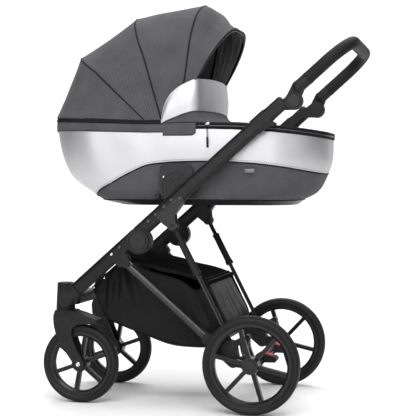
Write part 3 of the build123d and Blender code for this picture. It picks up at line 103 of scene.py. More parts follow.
def begin(name):
    m = bpy.data.materials.new(name)
    m.use_nodes = True
    nt = m.node_tree
    b = nt.nodes["Principled BSDF"]
    co = node(nt, "ShaderNodeTexCoord")
    return m, nt, b, co


def bump_chain(nt, b, layers):
    """Stack bump layers, each (height socket, distance in metres, strength)."""
    normal = None
    for height, dist, strength in layers:
        ins = {"Height": height, "Distance": dist, "Strength": strength}
        if normal is not None:
            ins["Normal"] = normal
        normal = node(nt, "ShaderNodeBump", ins).outputs["Normal"]
    nt.links.new(normal, b.inputs["Normal"])


def stitches(nt, layers, under, at, pitch, fill, half_width, groove, thread):
    """Row of stitches at a distance from each seam: the thread over a colour, and a groove in the bumps."""
    seam = node(nt, "ShaderNodeUVMap", uv_map="Seam").outputs["UV"]
    part = node(nt, "ShaderNodeSeparateXYZ", {"Vector": seam})
    off = math_node(nt, "ABSOLUTE", math_node(nt, "SUBTRACT", part.outputs["Y"], at))
    line = math_node(nt, "LESS_THAN", off, half_width)
    phase = math_node(nt, "FRACT", math_node(nt, "MULTIPLY", part.outputs["X"], 1 / pitch))
    mark = math_node(nt, "MULTIPLY", line, math_node(nt, "LESS_THAN", phase, fill))
    layers.append((math_node(nt, "SUBTRACT", 1.0, line), groove, 0.8))
    return over(nt, mark, under, thread)


def grain(name, dark, light, rough, grain_scale, grain_depth, cell=None,
          metallic=0.0, coat=0.0, spec=0.18, fleck=0.0, wear=0.0):
    """Painted, moulded or metal surface: mottled colour, uneven gloss, fine grain, optional worn edges."""
    m, nt, b, co = begin(name)
    obj = co.outputs["Object"]
    broad = noise_tex(nt, obj, 22.0, 3.0)
    fine = noise_tex(nt, obj, grain_scale, 2.0, 0.6)
    mix = math_node(nt, "ADD", math_node(nt, "MULTIPLY", broad, 0.3), math_node(nt, "MULTIPLY", fine, 0.7))
    stops = [(0.30, dark), (0.68, light)]
    if fleck:
        stops += [(0.86, tuple(c + fleck for c in light))]
    col = ramp(nt, mix, stops)
    if wear:
        edge = node(nt, "ShaderNodeNewGeometry").outputs["Pointiness"]
        worn = ramp(nt, edge, [(0.52, 0.0), (0.60, wear)])
        patch = ramp(nt, noise_tex(nt, obj, 60.0, 4.0), [(0.45, 0.0), (0.62, 1.0)])
        amount = math_node(nt, "MULTIPLY", worn, patch)
        col = over(nt, amount, col, [min(1.0, c * 3 + 0.06) for c in light])
    nt.links.new(col, b.inputs["Base Color"])
    nt.links.new(ramp(nt, broad, [(0.3, rough - 0.03), (0.7, rough + 0.04)]), b.inputs["Roughness"])
    b.inputs["Metallic"].default_value = metallic
    b.inputs["Specular IOR Level"].default_value = spec
    b.inputs["Coat Weight"].default_value = coat
    b.inputs["Coat Roughness"].default_value = 0.25
    height = cells(nt, obj, cell) if cell else fine
    bump_chain(nt, b, [(height, grain_depth, 0.6)])
    return m


YARN_LONG, YARN_SHORT = 260.0, 900.0


def woven(name, dark, light, thread, depth, sheen=0.1, rough=0.85, stitch=None, crease=0.0, spec=0.12):
    """Cloth on a sheet whose UVs are in metres: melange yarn, a weave and optional stitches by each seam."""
    m, nt, b, co = begin(name)
    uv = node(nt, "ShaderNodeUVMap", uv_map="UVMap").outputs["UV"]
    part = node(nt, "ShaderNodeSeparateXYZ", {"Vector": uv})
    k = math.pi / thread
    warp = math_node(nt, "SINE", math_node(nt, "MULTIPLY", part.outputs["X"], k))
    weft = math_node(nt, "SINE", math_node(nt, "MULTIPLY", part.outputs["Y"], k))
    cross = math_node(nt, "MULTIPLY", warp, weft)
    lift = math_node(nt, "ADD", math_node(nt, "MULTIPLY", cross, 0.5), 0.5)
    yarns = []
    for scale in ((YARN_LONG, YARN_SHORT, 1.0), (YARN_SHORT, YARN_LONG, 1.0)):
        streak = node(nt, "ShaderNodeMapping", {"Vector": uv, "Scale": scale}).outputs["Vector"]
        yarns.append(noise_tex(nt, streak, 1.0, 2.0, 0.7))
    broad = noise_tex(nt, co.outputs["Object"], 14.0, 3.0)
    mix = math_node(nt, "ADD", math_node(nt, "MULTIPLY", math_node(nt, "MAXIMUM", *yarns), 0.55),
                    math_node(nt, "MULTIPLY", lift, 0.29))
    mix = math_node(nt, "ADD", mix, math_node(nt, "MULTIPLY", broad, 0.16))
    middle = tuple((a + c) / 2 for a, c in zip(dark, light))
    col = ramp(nt, mix, [(0.36, dark), (0.55, middle), (0.72, light)])
    layers = []
    if crease:
        layers.append((noise_tex(nt, co.outputs["Object"], 9.0, 3.0, 0.45), crease, 0.7))
    layers.append((lift, depth, 0.55))
    if stitch:
        col = stitches(nt, layers, col, stitch, pitch=0.0065, fill=0.66, half_width=0.0011, groove=0.0008,
                       thread=[c * 0.35 for c in dark])
    nt.links.new(col, b.inputs["Base Color"])
    nt.links.new(ramp(nt, mix, [(0.3, rough + 0.08), (0.8, rough - 0.1)]), b.inputs["Roughness"])
    b.inputs["Sheen Weight"].default_value = sheen
    b.inputs["Sheen Roughness"].default_value = 0.45
    b.inputs["Specular IOR Level"].default_value = spec
    bump_chain(nt, b, layers)
    return m


def hide_leather(name, dark, light, rough, metallic, coat, cell, depth, stitch=None, crease=0.0, spec=0.35):
    """Coated leather look: fine pores, broad tone, optional stitches from a Seam UV map."""
    m, nt, b, co = begin(name)
    obj = co.outputs["Object"]
    pores = cells(nt, obj, cell)
    broad = noise_tex(nt, obj, 11.0, 3.0)
    fine = noise_tex(nt, obj, cell * 2.2, 2.0)
    mix = math_node(nt, "ADD", math_node(nt, "MULTIPLY", broad, 0.35), math_node(nt, "MULTIPLY", fine, 0.65))
    col = ramp(nt, mix, [(0.32, dark), (0.66, light)])
    layers = []
    if crease:
        layers.append((noise_tex(nt, obj, 10.0, 2.0, 0.4), crease, 0.6))
    layers.append((pores, depth, 0.5))
    if stitch:
        col = stitches(nt, layers, col, stitch, pitch=0.006, fill=0.65, half_width=0.0010, groove=0.0007,
                       thread=[c * 0.55 for c in dark])
    nt.links.new(col, b.inputs["Base Color"])
    nt.links.new(ramp(nt, broad, [(0.3, rough - 0.02), (0.7, rough + 0.03)]), b.inputs["Roughness"])
    b.inputs["Metallic"].default_value = metallic
    b.inputs["Coat Weight"].default_value = coat
    b.inputs["Coat Roughness"].default_value = 0.3
    b.inputs["Specular IOR Level"].default_value = spec
    bump_chain(nt, b, layers)
    return m


M = {
    "frame_black": grain(
        "powder_coat", (0.005, 0.005, 0.0054), (0.009, 0.009, 0.0095), 0.32, 1400.0, 0.00010, spec=0.20,
        fleck=0.02, wear=0.05,
    ),
    "leg_black": grain(
        "satin_paint", (0.006, 0.006, 0.0064), (0.011, 0.011, 0.0115), 0.24, 1400.0, 0.00006, spec=0.5,
        fleck=0.02, wear=0.05,
    ),
    "joint_plastic": grain(
        "moulded_plastic", (0.008, 0.008, 0.0085), (0.014, 0.014, 0.015), 0.45, 900.0, 0.0001, cell=1100.0,
        wear=0.05,
    ),
    "cover_plastic": grain(
        "satin_cap", (0.007, 0.007, 0.0075), (0.012, 0.012, 0.0125), 0.30, 700.0, 0.00005, coat=0.2,
        wear=0.05,
    ),
    "bracket_plastic": grain(
        "grey_plastic", (0.018, 0.018, 0.019), (0.028, 0.028, 0.030), 0.44, 900.0, 0.0001, cell=1100.0,
        wear=0.05,
    ),
    "plate_plastic": grain(
        "plate_plastic", (0.016, 0.016, 0.017), (0.026, 0.026, 0.028), 0.45, 900.0, 0.0001, cell=1100.0,
        wear=0.05,
    ),
    "tyre_rubber": grain(
        "tyre_rubber", (0.008, 0.008, 0.008), (0.014, 0.0138, 0.0136), 0.55, 500.0, 0.0002, cell=420.0,
        spec=0.2, wear=0.04,
    ),
    "rim_plastic": grain(
        "rim_plastic", (0.006, 0.006, 0.0065), (0.011, 0.011, 0.012), 0.22, 600.0, 0.00005, coat=0.05,
        spec=0.28, wear=0.05,
    ),
    "steel": grain(
        "plated_steel", (0.42, 0.42, 0.44), (0.62, 0.62, 0.64), 0.28, 400.0, 0.00004, metallic=1.0,
    ),
    "axle": grain(
        "black_steel", (0.02, 0.02, 0.021), (0.05, 0.05, 0.052), 0.35, 400.0, 0.00005, metallic=0.8, wear=0.1,
    ),
    "grip_leather": hide_leather(
        "grip_leather", (0.008, 0.008, 0.008), (0.016, 0.016, 0.016), 0.55, 0.0, 0.0, 620.0, 0.0004,
        spec=0.12,
    ),
    "tray_plastic": grain(
        "tray_satin", (0.008, 0.008, 0.0085), (0.013, 0.013, 0.014), 0.38, 500.0, 0.00004, coat=0.1,
        wear=0.04,
    ),
    "tub_plastic": grain(
        "tub_liner", (0.014, 0.014, 0.015), (0.024, 0.024, 0.025), 0.8, 800.0, 0.0004, cell=500.0,
    ),
    "red": grain("red_plastic", (0.45, 0.012, 0.010), (0.60, 0.022, 0.018), 0.4, 800.0, 0.0001, wear=0.04),
    "stud": grain("bright_stud", (0.55, 0.55, 0.57), (0.78, 0.78, 0.80), 0.22, 300.0, 0.00004, metallic=1.0),
    "tag": grain("brushed_tag", (0.10, 0.10, 0.10), (0.22, 0.22, 0.215), 0.45, 260.0, 0.0001, metallic=0.8),
    "rivet": grain(
        "dark_rivet", (0.05, 0.05, 0.052), (0.12, 0.12, 0.125), 0.30, 400.0, 0.00004, metallic=0.7,
    ),
    "silver_leather": hide_leather(
        "silver_leather", (0.50, 0.50, 0.517), (0.59, 0.59, 0.608), 0.45, 0.85, 0.0, 700.0, 0.00015,
        stitch=0.006, crease=0.0004,
    ),
    "silver_plain": hide_leather(
        "silver_collar", (0.50, 0.50, 0.517), (0.59, 0.59, 0.608), 0.45, 0.85, 0.0, 700.0, 0.00015,
        crease=0.0004,
    ),
    "grey_cloth": woven(
        "grey_melange", (0.026, 0.0255, 0.028), (0.122, 0.119, 0.127), 0.0028, 0.0008, sheen=0.08,
        stitch=0.0026, crease=0.0010,
    ),
    "lining": woven(
        "hood_lining", (0.08, 0.08, 0.081), (0.24, 0.24, 0.245), 0.0010, 0.0003, sheen=0.05, crease=0.003,
    ),
    "black_cloth": woven(
        "black_nylon", (0.004, 0.004, 0.0045), (0.012, 0.012, 0.0131), 0.0009, 0.0003, sheen=0.0, rough=0.44,
        stitch=0.007, crease=0.012, spec=0.10,
    ),
    "lid_cloth": woven(
        "lid_nylon", (0.007, 0.007, 0.0077), (0.020, 0.020, 0.0216), 0.0009, 0.0003, sheen=0.0, rough=0.8,
        stitch=0.007, crease=0.003, spec=0.0,
    ),
    "tape": woven(
        "black_tape", (0.005, 0.005, 0.005), (0.014, 0.014, 0.015), 0.0016, 0.0006, sheen=0.0, rough=0.7,
        spec=0.1,
    ),
    "mattress_cloth": woven(
        "cotton_jersey", (0.60, 0.60, 0.585), (0.80, 0.80, 0.785), 0.0012, 0.0004, sheen=0.2, rough=0.9,
        crease=0.002,
    ),
}

# Nodes with a look of their own; every other node has the look of its slot
NODE_LOOK = {
    "hood_pivots": "axle", "rear_axle": "axle",
    "bow_a": "axle", "bow_b": "axle", "bow_c": "axle", "bow_front": "axle",
    "cot_plates": "plate_plastic", "handlebar": "frame_black",
    "tilt_button_left": "bracket_plastic", "tilt_button_right": "bracket_plastic",
    "rear_leg_left": "leg_black", "rear_leg_right": "leg_black", "stay_rods": "leg_black",
}
for sub in frame["record"]["subparts"]:
    name = sub["node"]
    o = NODES[name]
    o.data.materials.clear()
    o.data.materials.append(M[NODE_LOOK.get(name, sub["material_slot"])])


# Geometry helpers

def curve_at(table, t):
    """Smooth value of a table of (t, values...) rows, Catmull-Rom between them."""
    if t <= table[0][0]:
        return table[0][1:]
    if t >= table[-1][0]:
        return table[-1][1:]
    for i in range(len(table) - 1):
        if table[i][0] <= t <= table[i + 1][0]:
            break
    p1, p2 = table[i], table[i + 1]
    p0 = table[i - 1] if i else p1
    p3 = table[i + 2] if i + 2 < len(table) else p2
    h = p2[0] - p1[0]
    u = (t - p1[0]) / h
    out = []
    for c in range(1, len(p1)):
        m1 = (p2[c] - p0[c]) / ((p2[0] - p0[0]) or 1) * h
        m2 = (p3[c] - p1[c]) / ((p3[0] - p1[0]) or 1) * h
        u2, u3 = u * u, u * u * u
        out.append((2 * u3 - 3 * u2 + 1) * p1[c] + (u3 - 2 * u2 + u) * m1
                   + (3 * u2 - 2 * u3) * p2[c] + (u3 - u2) * m2)
    return tuple(out)


def grid(name, rows, mat, body, close=False, flip=False):
    """Sheet from rows of points in mm. UVMap is in metres along the rows and across them; Seam holds the
    length along and the distance to the nearer long edge."""
    n, w = len(rows), len(rows[0])
    me = bpy.data.meshes.new(name)
    verts = [tuple(c * MM for c in p) for r in rows for p in r]
    span = w if close else w - 1
    faces = []
    for i in range(n - 1):
        for j in range(span):
            k = (j + 1) % w
            f = [i * w + j, i * w + k, (i + 1) * w + k, (i + 1) * w + j]
            faces.append(f[::-1] if flip else f)
    me.from_pydata(verts, [], faces)
    V = [Vector(v) for v in verts]
    along = []
    for i in range(n):
        d, line = 0.0, [0.0]
        for j in range(span):
            d += (V[i * w + (j + 1) % w] - V[i * w + j]).length
            line.append(d)
        along.append(line)
    across = []
    for j in range(w):
        d, line = 0.0, [0.0]
        for i in range(n - 1):
            d += (V[(i + 1) * w + j] - V[i * w + j]).length
            line.append(d)
        across.append(line)
    uv = me.uv_layers.new(name="UVMap")
    sm = me.uv_layers.new(name="Seam")
    mid = along[n // 2]
    li = 0
    for i in range(n - 1):
        for j in range(span):
            quad = [(i, j), (i, j + 1), (i + 1, j + 1), (i + 1, j)]
            if flip:
                quad = quad[::-1]
            for a, c in quad:
                v = across[c % w]
                uv.data[li].uv = (mid[c], v[a])
                sm.data[li].uv = (mid[c], min(v[a], v[-1] - v[a]))
                li += 1
    me.polygons.foreach_set("use_smooth", [True] * len(me.polygons))
    me.materials.append(mat)
    o = bpy.data.objects.new(name, me)
    bpy.context.scene.collection.objects.link(o)
    if body:
        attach(o, body)
    return o


def tube(name, pts, radius, mat, body, sides=8, close=False):
    """Tube along points in mm; a radius that is a pair (sideways, upward) flattens it."""
    P = [Vector(p) for p in pts]
    rx, ry = radius if isinstance(radius, tuple) else (radius, radius)
    n = len(P)
    rings = []
    up = None
    for i in range(n):
        if close:
            d = (P[(i + 1) % n] - P[i - 1]).normalized()
        else:
            d = (P[min(i + 1, n - 1)] - P[max(i - 1, 0)]).normalized()
        if up is None:
            up = Vector((0, 0, 1)) if abs(d.z) < 0.9 else Vector((1, 0, 0))
        side = d.cross(up).normalized()
        up = side.cross(d).normalized()
        rings.append([tuple(P[i] + side * math.cos(a) * rx + up * math.sin(a) * ry)
                      for a in (2 * math.pi * k / sides for k in range(sides))])
    if close:
        rings.append(rings[0])
    o = grid(name, rings, mat, body, close=True)
    if not close:
        bm = bmesh.new()
        bm.from_mesh(o.data)
        bmesh.ops.holes_fill(bm, edges=[e for e in bm.edges if e.is_boundary], sides=0)
        bm.to_mesh(o.data)
        bm.free()


LATHE_SIDES = 20


def lathe(name, spots, profile, mat, body):
    """Small pieces turned about y: a profile of (radius, height) in mm at each spot (x, y, z, sign of y)."""
    n = LATHE_SIDES
    verts, faces = [], []
    for x, y, z, s in spots:
        base = len(verts)
        for r, h in profile:
            for k in range(n):
                a = 2 * math.pi * k / n
                verts.append(((x + r * math.cos(a)) * MM, (y + s * h) * MM, (z + r * math.sin(a)) * MM))
        for i in range(len(profile) - 1):
            low, high = base + i * n, base + (i + 1) * n
            for k in range(n):
                j = (k + 1) % n
                faces.append((low + k, low + j, high + j, high + k))
        faces.append(tuple(base + (len(profile) - 1) * n + k for k in range(n)))
    me = bpy.data.meshes.new(name)
    me.from_pydata(verts, [], faces)
    me.polygons.foreach_set("use_smooth", [True] * len(me.polygons))
    me.materials.append(mat)
    o = bpy.data.objects.new(name, me)
    bpy.context.scene.collection.objects.link(o)
    bm = bmesh.new()
    bm.from_mesh(me)
    bmesh.ops.recalc_face_normals(bm, faces=bm.faces)
    bm.to_mesh(me)
    bm.free()
    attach(o, body)


def ripple(p, scale, amount):
    """Smooth noise at a point in mm."""
    return noise.noise(Vector(p) * scale * MM) * amount


# Hood: four panels over four bows, parted at the seams

HX, HZ = -62.0, 868.0
# Name, angle in degrees and height over the pivot of the hem and the four bows
BOWS = (
    ("hem", 176.6, 415.0), ("a", 146.6, 396.0), ("b", 113.0, 368.0),
    ("c", 78.4, 382.0), ("front", 60.4, 345.0),
)
HOOD_HALF, HOOD_FOOT, HOOD_CORNER = 204.5, 12.0, 150.0
HOOD_GRID = (96, 18)
HOOD_RUN = 120
# Shift of a seam in the flat side of the hood: slope, radius where it starts, radius where it eases off
SEAM_SHIFT = {"a": (-0.26, 289.0, 1.0), "b": (-0.12, 230.0, 1.0), "c": (0.07, 350.0, 140.0)}


def arch_point(k, height):
    """Point and outward normal (y, r) of a bow's arch; k runs from -1 at the left foot to 1 at the right."""
    s = abs(k)
    sign = -1 if k < 0 else 1
    half, corner = HOOD_HALF, HOOD_CORNER
    flat, bend, leg = half - corner, corner * math.pi / 2, height - corner - HOOD_FOOT
    d = s * (flat + bend + leg)
    if d <= flat:
        y, r, ny, nr = d, height, 0.0, 1.0
    elif d <= flat + bend:
        a = (d - flat) / corner
        y, r = flat + corner * math.sin(a), height - corner + corner * math.cos(a)
        ny, nr = math.sin(a), math.cos(a)
    else:
        y, r, ny, nr = half, height - corner - (d - flat - bend), 1.0, 0.0
    return sign * y, r, sign * ny, nr


def hood_point(k, bow, inset=0.0):
    """Point of the cloth over a bow and its normal, at k along the arch."""
    label, ang, height = bow
    y, r, ny, nr = arch_point(k, height)
    slope, reach, ease = SEAM_SHIFT.get(label, (0.0, 0.0, 1.0))
    shift = slope * max(0.0, reach - r) * min(1.0, r / ease)
    y -= ny * inset
    r -= nr * inset
    a = math.radians(ang)
    n = Vector((nr * math.cos(a), ny, nr * math.sin(a)))
    return Vector((HX + r * math.cos(a) + shift, y, HZ + r * math.sin(a))), n


def hood_rows(b0, b1, sag, inset=0.0, pleats=0, depth=0.0, crest=0.0):
    """Panel from one bow to the next: it sinks by sag between them, rises by crest and may have pleats."""
    nu, nv = HOOD_GRID
    rows = []
    for iv in range(nv + 1):
        v = iv / nv
        row = []
        for iu in range(nu + 1):
            k = -1 + 2 * iu / nu
            p0, n0 = hood_point(k, b0, inset)
            p1, n1 = hood_point(k, b1, inset)
            p = p0.lerp(p1, v)
            n = (n0 + n1).normalized()
            spread = (p1 - p0).length
            hollow = sag * 4 * v * (1 - v) * min(1.0, spread / 120)
            hollow -= crest * math.sin(math.pi * min(1.0, v / 0.55)) * (1 - n.y * n.y)
            wave = ripple(p, 16, 2.0) * math.sin(math.pi * v) * min(1.0, spread / 90)
            fold = 0.0
            if pleats:
                gather = 0.5 - 0.5 * math.cos(2 * math.pi * pleats * v)
                fold = depth * gather * (0.6 + 0.6 * noise.noise(p * 0.012)) * min(1.0, spread / 60)
            p = p - n * (hollow + fold) + n * wave
            row.append(tuple(p))
        rows.append(row)
    return rows


def bow_line(bow, inset):
    return [tuple(hood_point(-1 + 2 * j / HOOD_RUN, bow, inset)[0]) for j in range(HOOD_RUN + 1)]


hood_bodies = ("carrycot", "hood_bow_a", "hood_bow_b", "hood_bow_c", "hood_bow_front")
# Name, sag and crest of each panel
PANELS = (("a", 2.5, 0.0), ("b", 4.0, 0.0), ("c", -1.5, 0.0), ("front", 3.0, 8.0))
LINING_INSET, LINING_PLEATS, LINING_DEPTH = 11.0, 4, 5.0
WELT_R, FRONT_WELT_R = 1.2, 3.6
for i, (pn, sag, crest) in enumerate(PANELS):
    b0, b1 = BOWS[i], BOWS[i + 1]
    for _, ang, _ in (b0, b1):
        a = math.radians(ang)
    outer = grid(f"hood_cloth_{pn}", hood_rows(b0, b1, sag, crest=crest), M["grey_cloth"], None)
    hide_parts(f"hood_panel_{pn}")
    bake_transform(outer)
    under = hood_rows(b0, b1, sag, LINING_INSET, LINING_PLEATS, LINING_DEPTH, crest)
    inner = grid(f"hood_lining_{pn}", under, M["lining"], None, flip=True)
    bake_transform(inner)
    at_front = pn == "front"
    tube(f"hood_welt_{pn}", bow_line(b1, -0.2), FRONT_WELT_R if at_front else WELT_R,
         M["grey_cloth"] if at_front else M["tape"], hood_bodies[i + 1])
tube("hood_front_binding", bow_line(BOWS[-1], 6.5), (2.2, 4.2), M["tape"], "hood_bow_front")


# Carrycot shell

# Height, x of the head end, x of the foot end and half width
COT = (
    (632, -320, 306, 172),
    (655, -357, 349, 184),
    (700, -418, 379, 194),
    (750, -447, 396, 200),
    (800, -463, 400, 203),
    (864, -475, 402, 205),
)
# x and height of the seam between the skirt and the band
SEAM = (
    (-420, 600), (-330, 645), (-259, 686), (-194, 720), (-130, 744),
    (28, 753), (182, 747), (274, 736), (355, 721), (460, 700),
)
SEAM_LOW, SEAM_HIGH = 633.0, 863.0
BAND_TOP, COT_BASE, RIM_Z = 863.5, 632.0, 864
RIM_FALL_X, RIM_FALL_R = 20.0, 2500.0
COT_CORNER = 0.78  # corner radius over half width


def cot_loop(side_n=44, corner_n=26, end_n=12):
    """Stations round the carrycot, as (segment, fraction), from the near head corner round by the foot."""
    out = []
    for seg in range(8):
        n = (side_n, corner_n, end_n, corner_n)[seg % 4]
        out += [(seg, i / n) for i in range(n)]
    return out


def plan_point(station, x0, x1, h, r):
    """Point and outward normal at a station of a round-cornered plan, from x0 to x1 and h to each side."""
    seg, f = station
    if seg == 0:
        return (x0 + r + (x1 - x0 - 2 * r) * f, -h), (0, -1)
    if seg == 2:
        return (x1, -(h - r) + 2 * (h - r) * f), (1, 0)
    if seg == 4:
        return (x1 - r - (x1 - x0 - 2 * r) * f, h), (0, 1)
    if seg == 6:
        return (x0, (h - r) - 2 * (h - r) * f), (-1, 0)
    a = math.radians({1: -90, 3: 0, 5: 90, 7: 180}[seg] + 90 * f)
    c, s = math.cos(a), math.sin(a)
    cx = x1 - r if seg in (1, 3) else x0 + r
    cy = -(h - r) if seg in (1, 7) else h - r
    return (cx + r * c, cy + r * s), (c, s)


def cot_point(station, z, grow=0.0):
    """Point and outward normal in plan at a station and height; grow moves it outward."""
    head, foot, half = curve_at(COT, z)
    (x, y), nrm = plan_point(station, head - grow, foot + grow, half + grow, half * COT_CORNER + grow)
    return (x, y, z), nrm


def rim_drop(x):
    """How far the rim has fallen at an x on the foot side."""
    return RIM_FALL_R - math.sqrt(RIM_FALL_R ** 2 - max(0.0, x - RIM_FALL_X) ** 2)


STATIONS = cot_loop()


def rim_point(st, z, grow):
    """Point at a height over the falling rim line."""
    p = cot_point(st, RIM_Z, grow)[0]
    return p[0], p[1], z - rim_drop(p[0])


def shell_rows(low, high, n, bulge, grow):
    """Cloth round the carrycot between two heights, each a function of the station."""
    rows = []
    for i in range(n + 1):
        t = i / n
        row = []
        for st in STATIONS:
            z0, z1 = low(st), high(st)
            z = z0 + (z1 - z0) * t
            p, nrm = cot_point(st, z, grow)
            b = bulge * math.sin(math.pi * t) + ripple(p, 14, 1.2) * math.sin(math.pi * t)
            row.append((p[0] + nrm[0] * b, p[1] + nrm[1] * b, z))
        rows.append(row)
    return rows


def seam_at(st):
    """Height of the seam at a station, found by turns with the x that the shell has there."""
    z = 700.0
    for _ in range(12):
        x = cot_point(st, z)[0][0]
        z = min(SEAM_HIGH, max(SEAM_LOW, curve_at(SEAM, x)[0]))
    return z


SEAM_AT = {st: seam_at(st) for st in STATIONS}
band_rows = shell_rows(lambda s: SEAM_AT[s], lambda s: rim_point(s, BAND_TOP, 0)[2], 18, 1.6, 0.2)
band = grid("cot_band_cloth", band_rows, M["silver_leather"], "carrycot", close=True)
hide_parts("cot_band")
skirt_rows = shell_rows(lambda s: COT_BASE, lambda s: SEAM_AT[s], 16, 1.2, 0.0)
skirt = grid("cot_skirt_cloth", skirt_rows, M["grey_cloth"], "carrycot", close=True)
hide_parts("cot_skirt")
piping = [cot_point(st, SEAM_AT[st], 0.9)[0] for st in STATIONS if SEAM_AT[st] > COT_BASE + 2]
tube("cot_seam_piping", piping, 1.5, M["tape"], "carrycot", sides=6)
foot_piping = [cot_point(st, COT_BASE + 2, 0.8)[0] for st in STATIONS]
tube("cot_base_piping", foot_piping, 2.2, M["tape"], "carrycot", sides=6, close=True)


# Hood hem with a tape above it

def rim_run(x_limit, keep_head):
    """Stations of the rim on the head side or the foot side of an x."""
    order = STATIONS
    if keep_head:
        far_side = len(STATIONS) // 2 + 20
        order = STATIONS[far_side:] + STATIONS[:far_side]
    return [st for st in order if (cot_point(st, RIM_Z)[0][0] <= x_limit) == keep_head]


def head_rise(x):
    """Share of the hem's rise towards the head."""
    return max(0.0, min(1.0, (-140 - x) / 300))


HEM_PROFILE = ((840, 1.6), (846, 3.0), (856, 3.4), (864, 3.0), (869, 1.6))
TAPE_PROFILE = ((864, 2.0), (867, 3.2), (872, 3.0), (876, 0.8), (880, -2.0))
ZIP_PROFILE = ((850, 1.0), (852, 3.0), (861, 3.6), (868, 3.4), (871, 1.5), (871.5, -3.0))
HEM_END, HEM_RISE, TAPE_RISE, ZIP_END = -84, 9, 14, 12


def strip_rows(stations, profile, rise=0.0):
    """Strip along the rim from a profile of (height, outward shift), raised towards the head."""
    rows = []
    for z0, g in profile:
        row = [rim_point(st, z0, g) for st in stations]
        rows.append([(x, y, z + rise * head_rise(x)) for x, y, z in row])
    return rows


head_run = rim_run(HEM_END, True)
hem_rows = strip_rows(head_run, HEM_PROFILE, HEM_RISE)
hem = grid("hood_hem_cloth", hem_rows, M["grey_cloth"], "carrycot")
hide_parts("hood_hem")
tape_rows = strip_rows(head_run, TAPE_PROFILE, TAPE_RISE)
hem_tape = grid("hood_hem_tape", tape_rows, M["tape"], "carrycot")


# Collar and apron

# Share of the run, x, y, foot and top of the collar, from its near end to the middle; the far half mirrors it
COLLAR_HALF = (
    (-1.0, -92, -211.0, 868, 872),
    (-0.93, -84, -211.5, 873, 915),
    (-0.85, -66, -212.0, 881, 951),
    (-0.74, -40, -212.0, 891, 975),
    (-0.64, -14, -212.0, 900, 989),
    (-0.55, 8, -210.5, 905, 997),
    (-0.48, 22, -201.0, 906, 1000),
    (-0.40, 30, -180.0, 906, 1001),
    (-0.25, 38, -120.0, 907, 1004),
    (-0.10, 43, -50.0, 908, 1006),
    (0.0, 44, 0.0, 908, 1006),
)
COLLAR_PLAN = COLLAR_HALF + tuple((-t, x, -y, a, b) for t, x, y, a, b in reversed(COLLAR_HALF[:-1]))
COLLAR_RUN, COLLAR_STEP = 120, 0.01


def collar_rows(inset, n=14):
    """Collar from its foot to its top in n steps, swelling outward between them."""
    rows = []
    for i in range(n + 1):
        t = i / n
        row = []
        for j in range(COLLAR_RUN + 1):
            w = -1 + 2 * j / COLLAR_RUN
            x, y, lo, hi = curve_at(COLLAR_PLAN, w)
            x2, y2, _, _ = curve_at(COLLAR_PLAN, min(1, w + COLLAR_STEP))
            x1, y1, _, _ = curve_at(COLLAR_PLAN, max(-1, w - COLLAR_STEP))
            d = Vector((x2 - x1, y2 - y1)).normalized()
            nrm = Vector((d.y, -d.x))
            z = lo + (hi - lo) * t
            swell = 4 * math.sin(math.pi * t) * min(1, (hi - lo) / 60)
            out = swell - inset - t + ripple((x, y, z), 20, 1.0)
            row.append((x + nrm.x * out, y + nrm.y * out, z))
        rows.append(row)
    return rows


collar = grid("collar_leather", collar_rows(0), M["silver_plain"], "carrycot")
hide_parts("collar")
collar_back = grid("collar_lining", collar_rows(3.0), M["lining"], "carrycot", flip=True)
tube("collar_edge", collar_rows(1.5, 1)[1], 2.2, M["silver_plain"], "carrycot")

APRON_GRID = (26, 160)
APRON_TOP, APRON_START = 869, -92
APRON_FALL, APRON_SPACING = 15, 1.8


def apron_rows():
    """Cloth that falls from the foot of the collar to the rim all round the foot end."""
    n, m = APRON_GRID
    run = [cot_point(st, RIM_Z, 2.0)[0] for st in rim_run(APRON_START, False)]
    lens = [0.0]
    for a, b in zip(run, run[1:]):
        lens.append(lens[-1] + (Vector(b) - Vector(a)).length)
    rows = []
    for i in range(n + 1):
        t = (i / n) ** APRON_SPACING
        row = []
        for j in range(m + 1):
            w = -1 + 2 * j / m
            x, y, lo, _ = curve_at(COLLAR_PLAN, w)
            d = lens[-1] * j / m
            k = max(a for a in range(len(lens)) if lens[a] <= d + 1e-6)
            k = min(k, len(run) - 2)
            e = Vector(run[k]).lerp(Vector(run[k + 1]), (d - lens[k]) / (lens[k + 1] - lens[k]))
            px, py = x + (e.x - x) * t, y + (e.y - y) * t
            span = math.hypot(e.x - x, e.y - y)
            fall = (1 - t) ** APRON_FALL
            crown = min(3.0, span * 0.03) * math.sin(math.pi * min(1, t * 1.02))
            z = APRON_TOP - rim_drop(px) + (lo - 2 - APRON_TOP) * fall + crown
            z += ripple((px, py, 0), 12, 3.0) * math.sin(math.pi * t)
            row.append((px, py, z))
        rows.append(row)
    return rows


apron = grid("apron_cloth", apron_rows(), M["grey_cloth"], "carrycot")
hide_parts("apron")

zip_run = rim_run(ZIP_END, False)
zip_tape = grid("apron_zip_tape", strip_rows(zip_run, ZIP_PROFILE), M["tape"], "carrycot")
teeth = [rim_point(st, 860, 3.9) for st in zip_run]
tube("apron_zip_teeth", teeth, 1.6, M["rivet"], "carrycot", sides=6)

